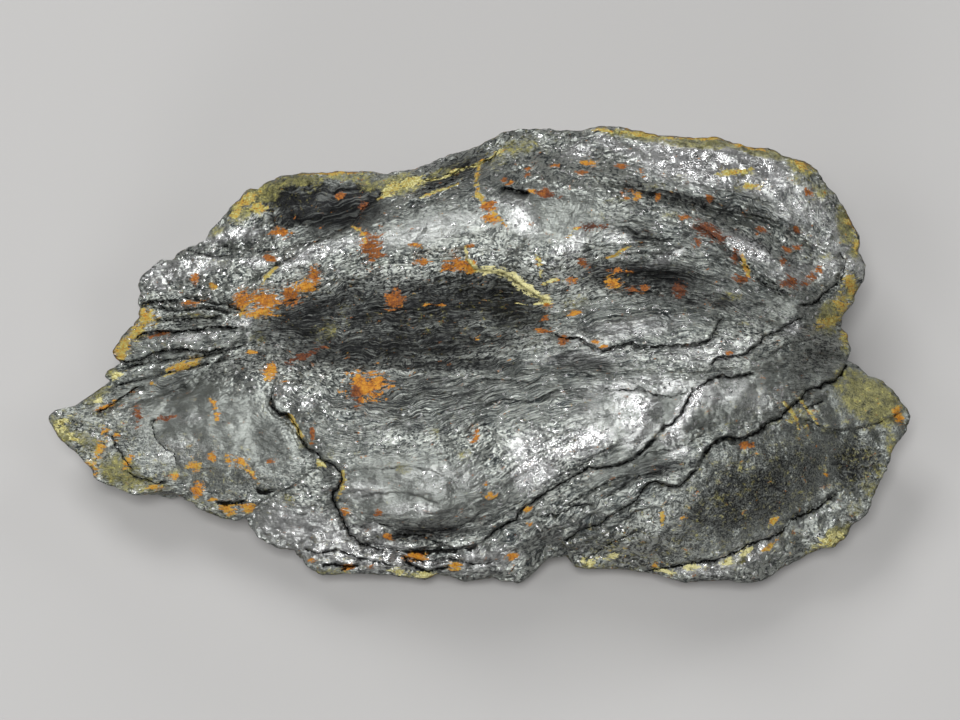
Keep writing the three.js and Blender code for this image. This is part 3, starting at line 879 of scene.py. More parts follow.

# %% [markdown]
# Where each finish lies
#
# Rust, crust, soot and polish, with the places of painted shade and painted highlights, are stored as
# numbers on the stone's points, worked out from ellipses noted on the picture. A number passes one half
# where a patch ends, and the material adds noise to it before it decides, so a patch gets a ragged edge that
# is much finer than the net.

# %% The final points, which of them the viewer sees, and their pixels
final = read_points(stone.data) / MM
normal_flat = np.empty(len(final) * 3, np.float32)
stone.data.vertices.foreach_get("normal", normal_flat)
normals = normal_flat.reshape(-1, 3).astype(float)
to_viewer = view_point - final
to_viewer /= np.linalg.norm(to_viewer, axis=1, keepdims=True)
seen = smoothstep((normals * to_viewer).sum(1), -0.05, 0.12)
spots = as_seen(final)


def store(name, values):
    """Puts one number, or three, on each point of the stone."""
    values = np.asarray(values, np.float32)
    kind = "FLOAT" if values.ndim == 1 else "FLOAT_VECTOR"
    attribute = stone.data.attributes.new(name, kind, "POINT")
    attribute.data.foreach_set("value" if values.ndim == 1 else "vector", values.ravel())


# %% Rust and crust patches: pixel, half length, half width, turn in degrees, tone from 0 dark red to 1 cream
CRUST = [
    (243, 300, 8, 9, 0, 0.45), (262, 300, 14, 9, 0, 0.45), (258, 313, 16, 4, 0, 0.6),
    (290, 296, 8, 8, 40, 0.4), (306, 286, 12, 6, 20, 0.55), (314, 275, 5, 7, 0, 0.4),
    (372, 247, 10, 14, 0, 0.3), (368, 386, 17, 12, 0, 0.5), (357, 392, 6, 9, 0, 0.2),
    (270, 371, 6, 7, 0, 0.55), (305, 356, 20, 3, 25, 0.1), (212, 285, 5, 3, -30, 0.65),
    (190, 303, 8, 3, 0, 0.4), (146, 317, 8, 9, 60, 0.75), (136, 332, 10, 6, 50, 0.78),
    (122, 348, 11, 7, 50, 0.75), (118, 357, 6, 3, 0, 0.7), (182, 366, 16, 4, 20, 0.7),
    (152, 384, 3, 2, 0, 0.65), (105, 407, 9, 2, 30, 0.55), (138, 415, 4, 9, 0, 0.2),
    (166, 418, 8, 3, 0, 0.15), (214, 404, 2, 5, 20, 0.6), (217, 415, 2, 7, 0, 0.6),
    (211, 398, 3, 2, 0, 0.6), (194, 466, 6, 5, 0, 0.65), (212, 457, 4, 5, 0, 0.55),
    (228, 460, 3, 5, 0, 0.6), (240, 462, 6, 4, 0, 0.6), (251, 473, 10, 2, -50, 0.65),
    (198, 490, 5, 7, 0, 0.5), (212, 499, 5, 2, 0, 0.6), (228, 508, 7, 5, 0, 0.62),
    (247, 508, 7, 5, 0, 0.62), (105, 434, 3, 5, 0, 0.6), (116, 436, 2, 5, 0, 0.6),
    (270, 461, 4, 2, 0, 0.3), (394, 300, 8, 8, 0, 0.3), (436, 305, 11, 1, 0, 0.5),
    (476, 338, 3, 2, 0, 0.6), (528, 173, 2, 6, 0, 0.35), (504, 180, 3, 3, 0, 0.3),
    (511, 182, 2, 2, 0, 0.5), (533, 190, 3, 3, 0, 0.6), (545, 193, 10, 4, -10, 0.15),
    (590, 163, 8, 3, -5, 0.55), (555, 165, 5, 2, 0, 0.4), (584, 173, 5, 2, 0, 0.3),
    (488, 207, 6, 5, 0, 0.35), (490, 219, 7, 4, 0, 0.5), (470, 246, 4, 2, 0, 0.4),
    (458, 265, 12, 6, 0, 0.42), (468, 268, 6, 4, 0, 0.5), (588, 226, 6, 4, 0, 0.02),
    (604, 227, 4, 2, 0, 0.1), (584, 263, 6, 3, -30, 0.2), (573, 280, 5, 3, 0, 0.4),
    (614, 283, 6, 6, 40, 0.55), (620, 271, 9, 2, 0, 0.35), (632, 290, 5, 3, 0, 0.25),
    (645, 288, 4, 3, 0, 0.3), (679, 290, 6, 7, 0, 0.08), (637, 196, 5, 3, 0, 0.55),
    (626, 194, 3, 4, 0, 0.4), (658, 197, 3, 4, 0, 0.4), (643, 172, 2, 4, 0, 0.4),
    (625, 166, 6, 2, 0, 0.3), (710, 232, 20, 6, -30, 0.1), (686, 217, 5, 3, 0, 0.35),
    (709, 198, 4, 3, 0, 0.3), (761, 230, 5, 4, 0, 0.2), (796, 231, 3, 4, 0, 0.2),
    (798, 247, 4, 3, 0, 0.25), (786, 250, 4, 3, 0, 0.25), (783, 262, 2, 5, 0, 0.2),
    (735, 256, 3, 6, 0, 0.15), (697, 242, 4, 4, 0, 0.2), (793, 282, 9, 5, 0, 0.15),
    (812, 277, 6, 3, 10, 0.25), (819, 270, 3, 4, 0, 0.3), (742, 278, 8, 3, 0, 0.2),
    (730, 353, 4, 2, 0, 0.4), (545, 331, 8, 2, 0, 0.35), (563, 341, 4, 5, 0, 0.3),
    (594, 341, 3, 2, 0, 0.5), (604, 347, 3, 2, 0, 0.5), (574, 313, 7, 3, 10, 0.55),
    (548, 305, 4, 3, 0, 0.35), (545, 318, 3, 3, 0, 0.3), (490, 496, 5, 3, 0, 0.6),
    (486, 484, 2, 2, 0, 0.5), (528, 509, 5, 3, 20, 0.6), (530, 524, 4, 2, 0, 0.6),
    (512, 555, 4, 5, 0, 0.5), (345, 513, 4, 5, 0, 0.45), (378, 513, 5, 3, 20, 0.3),
    (388, 537, 4, 3, 0, 0.45), (312, 434, 2, 9, 0, 0.25), (454, 566, 6, 4, 0, 0.6),
    (414, 556, 11, 4, 0, 0.5), (348, 567, 5, 3, 0, 0.45), (370, 566, 3, 3, 0, 0.45),
    (312, 560, 4, 2, 0, 0.5), (662, 515, 2, 9, 0, 0.72), (685, 517, 3, 3, 0, 0.65),
    (774, 521, 5, 3, 40, 0.7), (766, 549, 7, 3, 35, 0.68), (779, 540, 3, 3, 0, 0.6),
    (655, 566, 4, 2, 0, 0.65), (898, 415, 4, 8, 10, 0.55), (746, 445, 8, 3, 0, 0.35),
    (475, 437, 4, 8, 0, 0.4), (809, 193, 5, 4, 0, 0.3), (826, 476, 2, 3, 0, 0.6),
    (176, 477, 3, 4, 0, 0.65), (252, 352, 5, 2, 0, 0.55), (284, 382, 4, 1, 0, 0.5),
    (415, 245, 6, 2, 0, 0.5), (422, 262, 6, 3, 0, 0.45), (270, 258, 5, 5, 0, 0.3),
    (194, 279, 4, 5, 0, 0.35), (280, 232, 9, 4, 0, 0.4), (362, 206, 4, 4, 0, 0.15),
    (340, 196, 4, 3, 0, 0.3), (690, 567, 10, 3, 0, 0.97), (726, 562, 9, 3, 20, 0.98),
    (662, 570, 10, 2, -8, 0.95), (744, 552, 8, 3, 28, 0.97), (612, 556, 9, 3, 20, 0.93),
    (590, 563, 7, 4, 0, 0.93), (426, 575, 9, 4, 0, 0.92), (400, 571, 8, 3, 0, 0.9),
    (830, 540, 10, 6, 30, 0.88), (62, 424, 5, 9, -40, 0.9), (74, 438, 8, 3, -40, 0.88),
    (84, 394, 12, 3, 38, 0.93), (100, 400, 6, 2, 30, 0.93), (116, 376, 6, 3, 30, 0.92),
    (320, 464, 4, 3, 0, 0.85), (246, 200, 12, 6, 30, 0.78), (260, 208, 8, 5, 0, 0.78),
    (412, 182, 12, 5, 10, 0.88), (392, 188, 8, 5, 30, 0.86), (236, 214, 5, 4, 0, 0.8),
    (852, 222, 5, 14, 15, 0.76), (857, 245, 4, 8, 0, 0.78), (850, 285, 6, 10, 10, 0.76),
    (842, 305, 7, 8, 30, 0.78), (828, 322, 12, 5, 20, 0.79), (845, 336, 4, 7, 0, 0.8),
    (700, 138, 28, 2, 0, 0.72), (748, 146, 18, 2, -12, 0.7), (640, 134, 20, 3, -8, 0.8),
    (802, 165, 10, 4, -30, 0.75), (734, 172, 14, 3, 4, 0.8), (752, 186, 10, 3, 5, 0.78),
    (330, 173, 30, 2, 0, 0.7), (604, 130, 12, 2, 0, 0.75), (90, 470, 6, 8, -40, 0.68),
    (100, 450, 4, 8, -20, 0.66), (128, 462, 3, 8, -30, 0.66), (155, 488, 8, 2, 0, 0.66),
]
# lines of crust: (line, half width in px at its start, middle and end, tone)
VEINS = [
    ([(465, 246), (467, 256), (469, 262), (474, 267), (480, 270), (490, 271)], (1.2, 1.6, 3), 0.95),
    ([(484, 270), (500, 271), (510, 276), (518, 282), (526, 287), (534, 293), (542, 298), (550, 301)],
        (3.4, 4.6, 3), 1),
    ([(516, 303), (530, 305), (542, 303), (550, 301)], (0.4, 0.8, 1.5), 0.97),
    ([(536, 255), (540, 262), (541, 268), (540, 277)], (1.2, 1.8, 1), 0.93),
    ([(543, 284), (550, 281), (557, 279)], (1, 1.5, 0.8), 0.93),
    ([(482, 160), (479, 165), (477, 172), (476, 182), (478, 196), (484, 204)], (1.5, 2.6, 2), 0.75),
    ([(484, 204), (492, 210), (500, 219), (506, 226)], (1.2, 1.5, 0.8), 0.7),
    ([(262, 283), (266, 277), (271, 272), (276, 267)], (1.5, 2.2, 1.5), 0.8),
    ([(240, 318), (243, 308), (250, 302), (262, 296)], (1, 1.4, 1), 0.7),
    ([(288, 413), (293, 420), (298, 428), (302, 437)], (1.5, 2.2, 1.5), 0.78),
    ([(342, 470), (344, 480), (341, 490), (337, 500)], (1.5, 2, 1.5), 0.8),
    ([(418, 181), (440, 179), (452, 173), (462, 169), (475, 165), (490, 159), (502, 149)],
        (1, 1.6, 1.2), 0.88),
    ([(420, 198), (428, 194), (440, 190), (458, 184)], (0.8, 1.3, 0.8), 0.85),
    ([(378, 200), (388, 192), (400, 186), (412, 180)], (1.5, 3, 2.5), 0.82),
    ([(352, 226), (358, 229), (362, 233), (365, 242)], (1, 1.5, 1.5), 0.8),
    ([(785, 403), (790, 410), (796, 418), (799, 428)], (1.6, 2.2, 1.2), 0.8),
    ([(799, 398), (806, 408), (814, 418), (818, 425)], (1, 1.4, 1.2), 0.84),
    ([(786, 420), (796, 424), (808, 427)], (1, 1.4, 0.8), 0.82),
    ([(742, 256), (744, 262), (746, 268), (748, 276)], (1.5, 3, 2.2), 0.72),
    ([(606, 258), (614, 256), (622, 250), (630, 246)], (1, 1.4, 1), 0.75),
    ([(566, 240), (572, 233), (578, 227)], (0.8, 1.2, 0.8), 0.85),
    ([(150, 337), (160, 334), (170, 333)], (1.5, 2, 1.2), 0.3),
]
# weathered areas: pixel, half length, half width, turn, how far the film covers
OLIVE = [
    (640, 136, 40, 6, -8, 0.75), (700, 143, 45, 7, -2, 0.85), (760, 152, 35, 6, -14, 0.85),
    (800, 166, 22, 9, -25, 0.7), (822, 190, 14, 12, -60, 0.6), (845, 225, 10, 26, 12, 0.8),
    (856, 250, 8, 14, 0, 0.7), (852, 290, 9, 12, 0, 0.8), (832, 312, 18, 14, 50, 0.8),
    (845, 345, 6, 16, 0, 0.55), (830, 330, 12, 8, 0, 0.6), (800, 180, 16, 10, -20, 0.5),
    (870, 400, 42, 26, -30, 0.85), (852, 392, 26, 18, -30, 0.7), (893, 450, 9, 26, 15, 0.6),
    (872, 490, 12, 20, 40, 0.55), (850, 378, 20, 14, -30, 0.65), (885, 425, 20, 12, 0, 0.4),
    (802, 416, 16, 12, 0, 0.5), (838, 537, 20, 13, 35, 0.85), (856, 508, 14, 12, 40, 0.5),
    (815, 550, 14, 7, 30, 0.6), (880, 470, 10, 16, 20, 0.45), (62, 430, 22, 13, -45, 0.7),
    (84, 440, 22, 10, -30, 0.6), (96, 394, 20, 9, 36, 0.6), (112, 372, 8, 8, 30, 0.6),
    (120, 472, 28, 22, -30, 0.68), (140, 484, 26, 12, -10, 0.6), (178, 474, 14, 8, -20, 0.5),
    (160, 488, 18, 6, 0, 0.5), (262, 192, 30, 15, 30, 0.72), (240, 212, 18, 14, 40, 0.62),
    (300, 180, 30, 8, 5, 0.65), (345, 176, 40, 6, 0, 0.6), (400, 184, 28, 13, 10, 0.75),
    (372, 184, 20, 9, 0, 0.6), (440, 174, 30, 8, 25, 0.5), (520, 146, 26, 12, 10, 0.6),
    (500, 158, 20, 10, 30, 0.5), (216, 232, 12, 6, 40, 0.6), (326, 332, 20, 12, 15, 0.45),
    (730, 296, 20, 6, 0, 0.45), (748, 324, 16, 4, 0, 0.45), (575, 302, 20, 12, 20, 0.42),
    (404, 468, 12, 9, 0, 0.5), (464, 454, 12, 8, 0, 0.45), (420, 576, 22, 6, 0, 0.6),
    (330, 572, 24, 5, 0, 0.55), (222, 512, 22, 9, -15, 0.5), (195, 502, 16, 6, -30, 0.5),
    (590, 566, 22, 6, 0, 0.5), (650, 556, 30, 10, -10, 0.35), (735, 560, 22, 9, 20, 0.55),
    (745, 188, 18, 5, 5, 0.5), (744, 173, 16, 4, 0, 0.6), (680, 178, 14, 6, 0, 0.45),
    (652, 186, 22, 5, 0, 0.4), (616, 200, 22, 5, 10, 0.45), (672, 214, 14, 6, 0, 0.4),
    (600, 214, 16, 12, 0, 0.35), (210, 262, 30, 6, 0, 0.35), (195, 316, 22, 5, 0, 0.45),
    (258, 338, 12, 10, 30, 0.45), (826, 258, 16, 8, 0, 0.45), (285, 500, 16, 8, 20, 0.4),
    (330, 452, 10, 12, 0, 0.4), (305, 442, 10, 12, 0, 0.45), (436, 434, 12, 10, 0, 0.35),
    (700, 535, 16, 10, 0, 0.4), (760, 500, 30, 14, 20, 0.3),
]
# soot and painted shade: dark patches placed on sooty areas and where the face lies in shade; pixel, half
# length, half width, turn, strength
SOOT_AND_PAINTED_SHADE = [
    (342, 207, 50, 26, 14, 1), (290, 195, 44, 20, 10, 1.05), (300, 214, 44, 12, 10, 0.95),
    (430, 304, 150, 34, 8, 0.84), (505, 310, 54, 26, -15, 0.85), (400, 345, 150, 26, 4, 0.84),
    (320, 314, 84, 28, 20, 0.84), (640, 278, 84, 20, -2, 0.85), (700, 300, 70, 10, -6, 0.65),
    (690, 200, 92, 7, -13, 0.8), (450, 364, 80, 10, 0, 0.8), (600, 222, 44, 18, 0, 0.35),
    (560, 262, 40, 10, 20, 0.4), (450, 172, 50, 15, 25, 0.7), (582, 362, 40, 12, 0, 0.6),
    (668, 468, 36, 9, 12, 0.75), (430, 420, 70, 18, 0, 0.4), (360, 300, 60, 30, 0, 0.7),
    (390, 520, 60, 20, 0, 0.25), (760, 245, 60, 6, -32, 0.6), (590, 365, 36, 14, 0, 0.5),
    (470, 395, 60, 22, 6, 0.45), (440, 425, 50, 16, 0, 0.35), (750, 490, 100, 44, 25, 0.66),
    (855, 465, 30, 30, 10, 0.75), (690, 530, 50, 18, 10, 0.4), (630, 476, 44, 8, 34, 0.6),
    (425, 532, 56, 10, 3, 0.85), (270, 440, 20, 28, 10, 0.4), (245, 480, 20, 14, 0, 0.4),
    (190, 322, 30, 6, 8, 0.6), (172, 387, 20, 12, 20, 0.6), (250, 360, 60, 14, 20, 0.5),
    (516, 190, 18, 6, -8, 0.7), (560, 460, 40, 10, 30, 0.3), (460, 168, 40, 12, 25, 0.7),
    (780, 330, 50, 16, 0, 0.35), (820, 355, 26, 14, 30, 0.55), (640, 235, 30, 10, -20, 0.6),
    (130, 440, 26, 16, 0, 0.4), (700, 300, 60, 8, 0, 0.4), (770, 450, 60, 24, 25, 0.35),
    (400, 392, 90, 26, 0, 0.55), (360, 425, 50, 20, 10, 0.35), (440, 400, 60, 30, 0, 0.4),
    (470, 345, 60, 20, 10, 0.55), (430, 216, 60, 14, 14, 0.3), (590, 400, 30, 14, 20, 0.35),
    (238, 400, 24, 20, 0, 0.3), (620, 325, 50, 12, 8, 0.3),
]
# polish and painted highlights: silvery patches placed where the folds catch the light; pixel, half length,
# half width, turn, strength
POLISH_AND_HIGHLIGHTS = [
    (535, 471, 22, 15, 20, 1.6), (577, 443, 34, 13, 15, 1.5), (530, 445, 24, 14, 20, 0.6),
    (638, 412, 20, 24, 60, 1), (635, 440, 14, 10, 0, 0.6), (687, 408, 28, 9, 55, 1.6),
    (673, 436, 12, 7, 20, 0.9), (678, 452, 12, 7, 20, 0.6), (660, 385, 34, 10, 0, 0.6),
    (600, 420, 40, 24, 20, 0.2), (520, 215, 20, 14, -60, 0.55), (528, 228, 12, 12, 0, 0.4),
    (505, 202, 12, 6, 0, 0.4), (568, 248, 24, 9, 35, 0.55), (578, 152, 16, 8, 10, 0.9),
    (617, 147, 24, 6, -22, 0.9), (616, 238, 14, 8, 0, 0.4), (700, 160, 66, 24, -5, 1.2),
    (760, 172, 34, 22, -20, 1.1), (748, 247, 26, 9, -28, 1.2), (665, 259, 20, 5, 28, 0.8),
    (230, 236, 34, 6, 8, 0.8), (255, 262, 16, 5, 0, 0.7), (185, 268, 40, 9, 12, 0.8),
    (158, 275, 14, 14, 0, 0.8), (320, 250, 34, 7, 15, 0.8), (296, 264, 16, 5, 20, 0.7),
    (242, 322, 10, 7, 0, 0.8), (198, 337, 30, 4, 5, 0.6), (298, 528, 14, 10, 40, 0.8),
    (305, 545, 12, 10, 0, 0.7), (388, 552, 16, 6, 0, 0.9), (395, 564, 14, 6, 0, 0.9),
    (430, 563, 26, 5, 0, 0.8), (470, 557, 16, 5, 10, 0.7), (372, 530, 14, 8, 0, 0.6),
    (300, 402, 20, 7, 0, 0.6), (280, 391, 16, 6, 0, 0.6), (190, 418, 14, 6, 0, 0.3),
    (410, 509, 26, 7, 0, 0.5), (793, 328, 9, 7, 30, 1), (738, 558, 28, 8, 20, 1),
    (700, 570, 28, 6, 0, 0.9), (766, 542, 16, 5, 35, 0.9), (795, 272, 26, 10, 0, 0.5),
    (620, 330, 60, 10, 8, 0.5), (600, 355, 60, 7, 5, 0.4), (430, 230, 60, 12, 14, 0.25),
    (725, 345, 40, 8, 5, 0.4), (855, 265, 10, 12, 0, 0.6), (500, 555, 14, 12, 0, 0.4),
    (620, 390, 40, 10, 0, 0.5), (345, 243, 20, 5, 10, 0.6), (400, 175, 4, 3, 0, 0.4),
    (720, 390, 30, 14, 10, 0.5), (700, 352, 40, 12, 0, 0.4), (800, 205, 34, 24, -30, 0.4),
    (830, 250, 20, 30, 10, 0.4), (760, 400, 26, 12, 20, 0.35), (310, 535, 56, 24, -20, 0.85),
    (365, 554, 60, 15, -6, 0.9), (390, 561, 24, 8, -6, 0.9), (480, 560, 40, 12, 6, 0.5),
    (270, 520, 30, 10, -20, 0.4), (360, 490, 30, 10, 0, 0.3), (440, 480, 40, 14, 0, 0.3),
    (180, 450, 30, 12, 0, 0.3),
]


# %% Rust and vein laid on the face: one half on a patch's edge, and 0 at twice its size
HIDDEN_TONE = 0.3
VEIN_MARGIN_PX = 4
crust = np.zeros(len(final))
tone = np.full(len(final), HIDDEN_TONE)
for *shape, patch_tone in CRUST:
    lift = np.maximum(0, 1 - np.sqrt(ellipse(spots, *shape)) / 2) * seen
    tone = np.where(lift > crust, patch_tone, tone)
    crust = np.maximum(crust, lift)
for line, widths, line_tone in VEINS:
    near, right, way = beside(line, spots, 2 * max(widths) + VEIN_MARGIN_PX)
    half_width = np.interp(way, (0, 0.5, 1), widths)
    lift = np.maximum(0, 1 - np.abs(right) / (2 * half_width)) * seen[near]
    tone[near] = np.where(lift > crust[near], line_tone, tone[near])
    crust[near] = np.maximum(crust[near], lift)

# %% The sides that the survey can't see get the same finishes by chance, and steep places are made darker and duller
OLIVE_SPECKS = 0.2
STEEP_DARKENING = 0.55
hidden = 1 - seen
broad = rough(final / 14 + 31, 3)
crust = np.maximum(crust, hidden * (0.25 + 0.33 * rough(final / 5 + 3, 3)))
olive = np.maximum(cover(spots, OLIVE), OLIVE_SPECKS + 0.14 * cover(spots, GRITTY)) * seen
olive = np.maximum(olive, hidden * (0.42 + 0.4 * broad))
steep = 1 - smoothstep(normals[:, 2], 0.15, 0.65)
soot_and_shade_patches = np.maximum(cover(spots, SOOT_AND_PAINTED_SHADE) * seen, hidden * (0.45 - 0.4 * broad))
soot_and_shade_patches = np.maximum(soot_and_shade_patches, STEEP_DARKENING * steep)

# %% A map of the grain in millimetres: on the face across and along the streaks, on the wall up and round it
WALL_RADIUS_MM = 40
WALL_SHEET = 9.0
strata = final[:, 2] + 0.12 * final[:, 1] + 0.8 * noise(final / 16)
bearings = np.arctan2(final[:, 1], final[:, 0])
face_map = np.column_stack([grain_level(spots) * MM_PER_PX, run_along(spots) * MM_PER_PX])
wall_map = np.column_stack([strata, bearings * WALL_RADIUS_MM])
grain_map = sheet_at(face_map, 0.0) * seen[:, None] + sheet_at(wall_map, WALL_SHEET) * hidden[:, None]

# %% [markdown]
# Where the cracks are open
#
# A crack is only a hair wide, which is finer than the net. So each point stores how far it lies from the
# nearest noted edge and how wide the slit is there, and the material paints the slit black, as the shade
# inside it, from that. A real crack opens and closes along its way, so chance makes the width ragged.

# %% How far each point lies from the nearest noted edge, on which side, and how open the slit is there
EDGE_REACH_PX = 9.0
SLIT_WIDTH_SHARE = 0.8
torn_spots = roughened(spots)
gap = np.full(len(final), EDGE_REACH_PX)
slit_open = np.zeros(len(final))
slit_half = np.full(len(final), 1.0)
for row, (line, *_, slit, half_width) in enumerate(EDGES.values()):
    near, right, way = beside(line, torn_spots, EDGE_REACH_PX)
    near, right, way = (values[np.abs(right) < np.abs(gap[near])] for values in (near, right, way))
    uneven = 0.75 + 0.5 * along_line(way, 9, row, 1.0)
    ragged_width = uneven + 0.75 * along_line(way, 34, row, 0.0)
    beyond = smoothstep(np.abs(right), 4, 8)
    openness = ends_fade(way, 0.1) * np.clip(uneven, 0.2, 1) * min(1, slit)
    gap[near] = right
    slit_open[near] = openness * (1 - beyond) * seen[near]
    slit_half[near] = SLIT_WIDTH_SHARE * half_width * np.clip(ragged_width, 0.12, 1.35)

# %% Storing the masks, and two sets of coordinates that are shaken so that no pattern runs straight
CRUMPLE_MM = 0.55
CRUMPLE_SPAN_MM = 1.7
WAVES_MM = 1.3
aside = [rough(final / CRUMPLE_SPAN_MM + sheet, 2) for sheet in (2.5, 12.5, 22.5)]
waves = rough(final / 4.5 + 41, 3)
wavy = np.column_stack([WAVES_MM * waves + 0.3 * aside[0], aside[1]])
store("crumpled", final + CRUMPLE_MM * np.column_stack(aside))
store("grain", grain_map + sheet_at(wavy, 0.0))
masks = {
    "crust": crust,
    "tone": tone,
    "olive": olive,
    "soot_and_shade_patches": soot_and_shade_patches,
    "polish_and_highlights": cover(spots, POLISH_AND_HIGHLIGHTS) * seen,
    "gap": gap * MM_PER_PX,
    "slit": slit_open,
    "slit_half": slit_half * MM_PER_PX,
    "calm": cover(spots, CALM) * seen,
    "streaky": cover(spots, STREAKY) * seen,
    "gritty": np.maximum(cover(spots, GRITTY) * seen, hidden),
    "blocky": cover(spots, BLOCKY) * seen,
}
for name, values in masks.items():
    store(name, values)
print("points:", len(final), "with masks:", ", ".join(masks))

# %% [markdown]
# The finish: foliated graphite
#
# Graphite shines like a soft metal, because its sheets reflect about a third of the light, so it is drawn
# as a metal of that brightness. Streaks along the grain change its brightness and roughness.

# %% The material, and one function that adds a node
def linear(code):
    """An sRGB hex code as linear colour."""
    parts = [int(code[i:i + 2], 16) / 255 for i in (1, 3, 5)]
    return tuple(c / 12.92 if c <= 0.04045 else ((c + 0.055) / 1.055) ** 2.4 for c in parts) + (1.0,)


material = bpy.data.materials.new("foliated_graphite")
material.use_nodes = True
tree = material.node_tree
shader = tree.nodes["Principled BSDF"]


def add(kind, settings=None, **inputs):
    """Adds a node, sets its settings, and sets each input to a value or links it to a socket."""
    made = tree.nodes.new("ShaderNode" + kind)
    for name, value in (settings or {}).items():
        setattr(made, name, value)
    for name, value in inputs.items():
        socket = made.inputs[int(name[1:])] if name[1:].isdigit() else made.inputs[name.replace("_", " ")]
        if isinstance(value, bpy.types.NodeSocket):
            tree.links.new(value, socket)
        else:
            socket.default_value = value
    return made


# %% Short names for the nodes that are used most
def number(name):
    """A mask that is stored on the stone's points."""
    return add("Attribute", {"attribute_name": name}).outputs["Fac"]


def vector(name):
    """A set of coordinates that is stored on the stone's points, in millimetres."""
    return add("Attribute", {"attribute_name": name}).outputs["Vector"]


def maths(operation, a, b=0.0, c=0.0, clamp=False):
    """One sum with numbers or sockets."""
    return add("Math", {"operation": operation, "use_clamp": clamp}, i0=a, i1=b, i2=c).outputs[0]


def vector_maths(operation, **inputs):
    """One sum with directions."""
    return add("VectorMath", {"operation": operation}, **inputs).outputs[0]


def ramp(value, low, high, to_low=0.0, to_high=1.0):
    """A soft rise from to_low, where the value is at low, to to_high, where it is at high."""
    settings = {"interpolation_type": "SMOOTHSTEP"}
    return add("MapRange", settings, i0=value, i1=low, i2=high, i3=to_low, i4=to_high).outputs[0]


def blend(factor, a, b):
    """The first colour at factor 0, the second at 1."""
    return add("Mix", {"data_type": "RGBA"}, i0=factor, i6=a, i7=b).outputs[2]


def blend_number(factor, a, b):
    """The first number at factor 0, the second at 1."""
    return add("Mix", {"data_type": "FLOAT"}, i0=factor, i2=a, i3=b).outputs[0]


def speckle(at, scale, detail, roughness):
    """Noise in round lumps."""
    return add("TexNoise", {}, Vector=at, Scale=scale, Detail=detail, Roughness=roughness).outputs["Fac"]


def combed(across, along, detail):
    """Noise drawn out along the grain: both spans in millimetres."""
    drawn = add("Mapping", {}, Vector=grain, Scale=(1 / across, 1 / along, 1)).outputs[0]
    return add("TexNoise", {"noise_dimensions": "2D"}, Vector=drawn, Scale=1.0, Detail=detail,
               Roughness=0.6).outputs["Fac"]


def product(*factors):
    """All the factors multiplied."""
    result = factors[0]
    for factor in factors[1:]:
        result = maths("MULTIPLY", result, factor)
    return result


def total(*terms):
    """All the terms added."""
    result = terms[0]
    for term in terms[1:]:
        result = maths("ADD", result, term)
    return result


def less(value, amount=1.0):
    """amount minus value."""
    return maths("SUBTRACT", amount, value)


def centred(value):
    """Noise moved from between 0 and 1 to between -1 and 1."""
    return maths("MULTIPLY_ADD", value, 2.0, -1.0)


def ridge(value):
    """Noise folded to sharp crests: 1 on a crest, 0 in between."""
    return less(maths("ABSOLUTE", centred(value)))


def furrows(value):
    """Noise folded to sharp furrows: 0 in a furrow, and rounded plates between."""
    return maths("ABSOLUTE", centred(value))


def millimetres(span):
    """The noise scale at which one lump is about this many millimetres long."""
    return 1 / (span * MM)


def ripped(value, levels, steep):
    """A smooth value cut into flat levels, with risers that take up this share of each."""
    scaled = maths("MULTIPLY", value, levels)
    whole = maths("FLOOR", scaled)
    riser = ramp(maths("FRACT", scaled), 1 - steep, 1)
    return maths("MULTIPLY", total(whole, riser), 1 / levels)


# %% Places and masks from the points
place = add("TexCoord").outputs["Object"]
calm_here, streaky_here, gritty_here, blocky_here = map(number, ("calm", "streaky", "gritty", "blocky"))
crumpled = vector("crumpled")
grain = vector("grain")

# %% [markdown]
# Micro relief
#
# Under the eye the sheets break up into threads, wrinkles, crinkles and grit, all finer than the net. They
# are added up in millimetres and given to one bump, so each can be weighed against the others.

# %% The patterns, with their spans in millimetres
threads = combed(0.16, 4.0, 3)
wrinkles = ridge(combed(1.2, 4.5, 2))
crinkle = furrows(combed(0.55, 1.5, 2))
sheets = ripped(combed(2.4, 8.0, 3), 9, 0.16)
crumple = furrows(speckle(crumpled, 1 / 1.4, 2, 0.6))
grit = speckle(place, millimetres(0.3), 1, 0.7)

# %% Their heights in millimetres: each pattern is higher or lower in the places that are named beside it
relief_mm = total(
    product(threads, blend_number(streaky_here, 0.04, 0.13)),
    product(wrinkles, blend_number(streaky_here, 0.12, 0.2), blend_number(calm_here, 1.0, 0.4)),
    product(crinkle, blend_number(gritty_here, 0.14, 0.11), blend_number(calm_here, 1.0, 0.5)),
    product(sheets, blend_number(calm_here, 0.28, 0.08)),
    product(crumple, blend_number(streaky_here, 0.2, 0.08), blend_number(calm_here, 1.0, 0.3),
            blend_number(gritty_here, 1.0, 0.6)),
    product(grit, blend_number(gritty_here, 0.08, 0.17)),
    product(grit, ramp(maths("MAXIMUM", number("crust"), number("olive")), 0.3, 0.6), 0.12),
)

# %% [markdown]
# Slits and blocks
#
# A slit is painted black, as the shade inside it, where a point lies within half its width of its middle,
# and noise frays its sides. Where graphite breaks in small flat blocks, each block mirrors another part of
# the room, so it is drawn as cells that are each tilted a little their own way.

# %% Slits under the noted edges, and the small step beside them
frayed = centred(speckle(place, millimetres(0.7), 2, 0.75))
gap_here = total(number("gap"), product(frayed, 0.45))
half_here = number("slit_half")
off_slit = maths("DIVIDE", maths("ABSOLUTE", maths("SUBTRACT", gap_here, half_here)), half_here)
open_here = ramp(total(number("slit"), product(frayed, 0.4)), 0.2, 0.5)
slit_here = product(less(ramp(off_slit, 0.45, 1.05)), open_here)
step_here = product(ramp(gap_here, -0.12, 0.12), ramp(number("slit"), 0.0, 0.5))

# %% Flat-faced blocks, about this long
BLOCK_MM = 1.9
blocks = add("TexVoronoi", {"distance": "CHEBYCHEV"}, Vector=crumpled, Scale=1 / BLOCK_MM, Randomness=1.0)
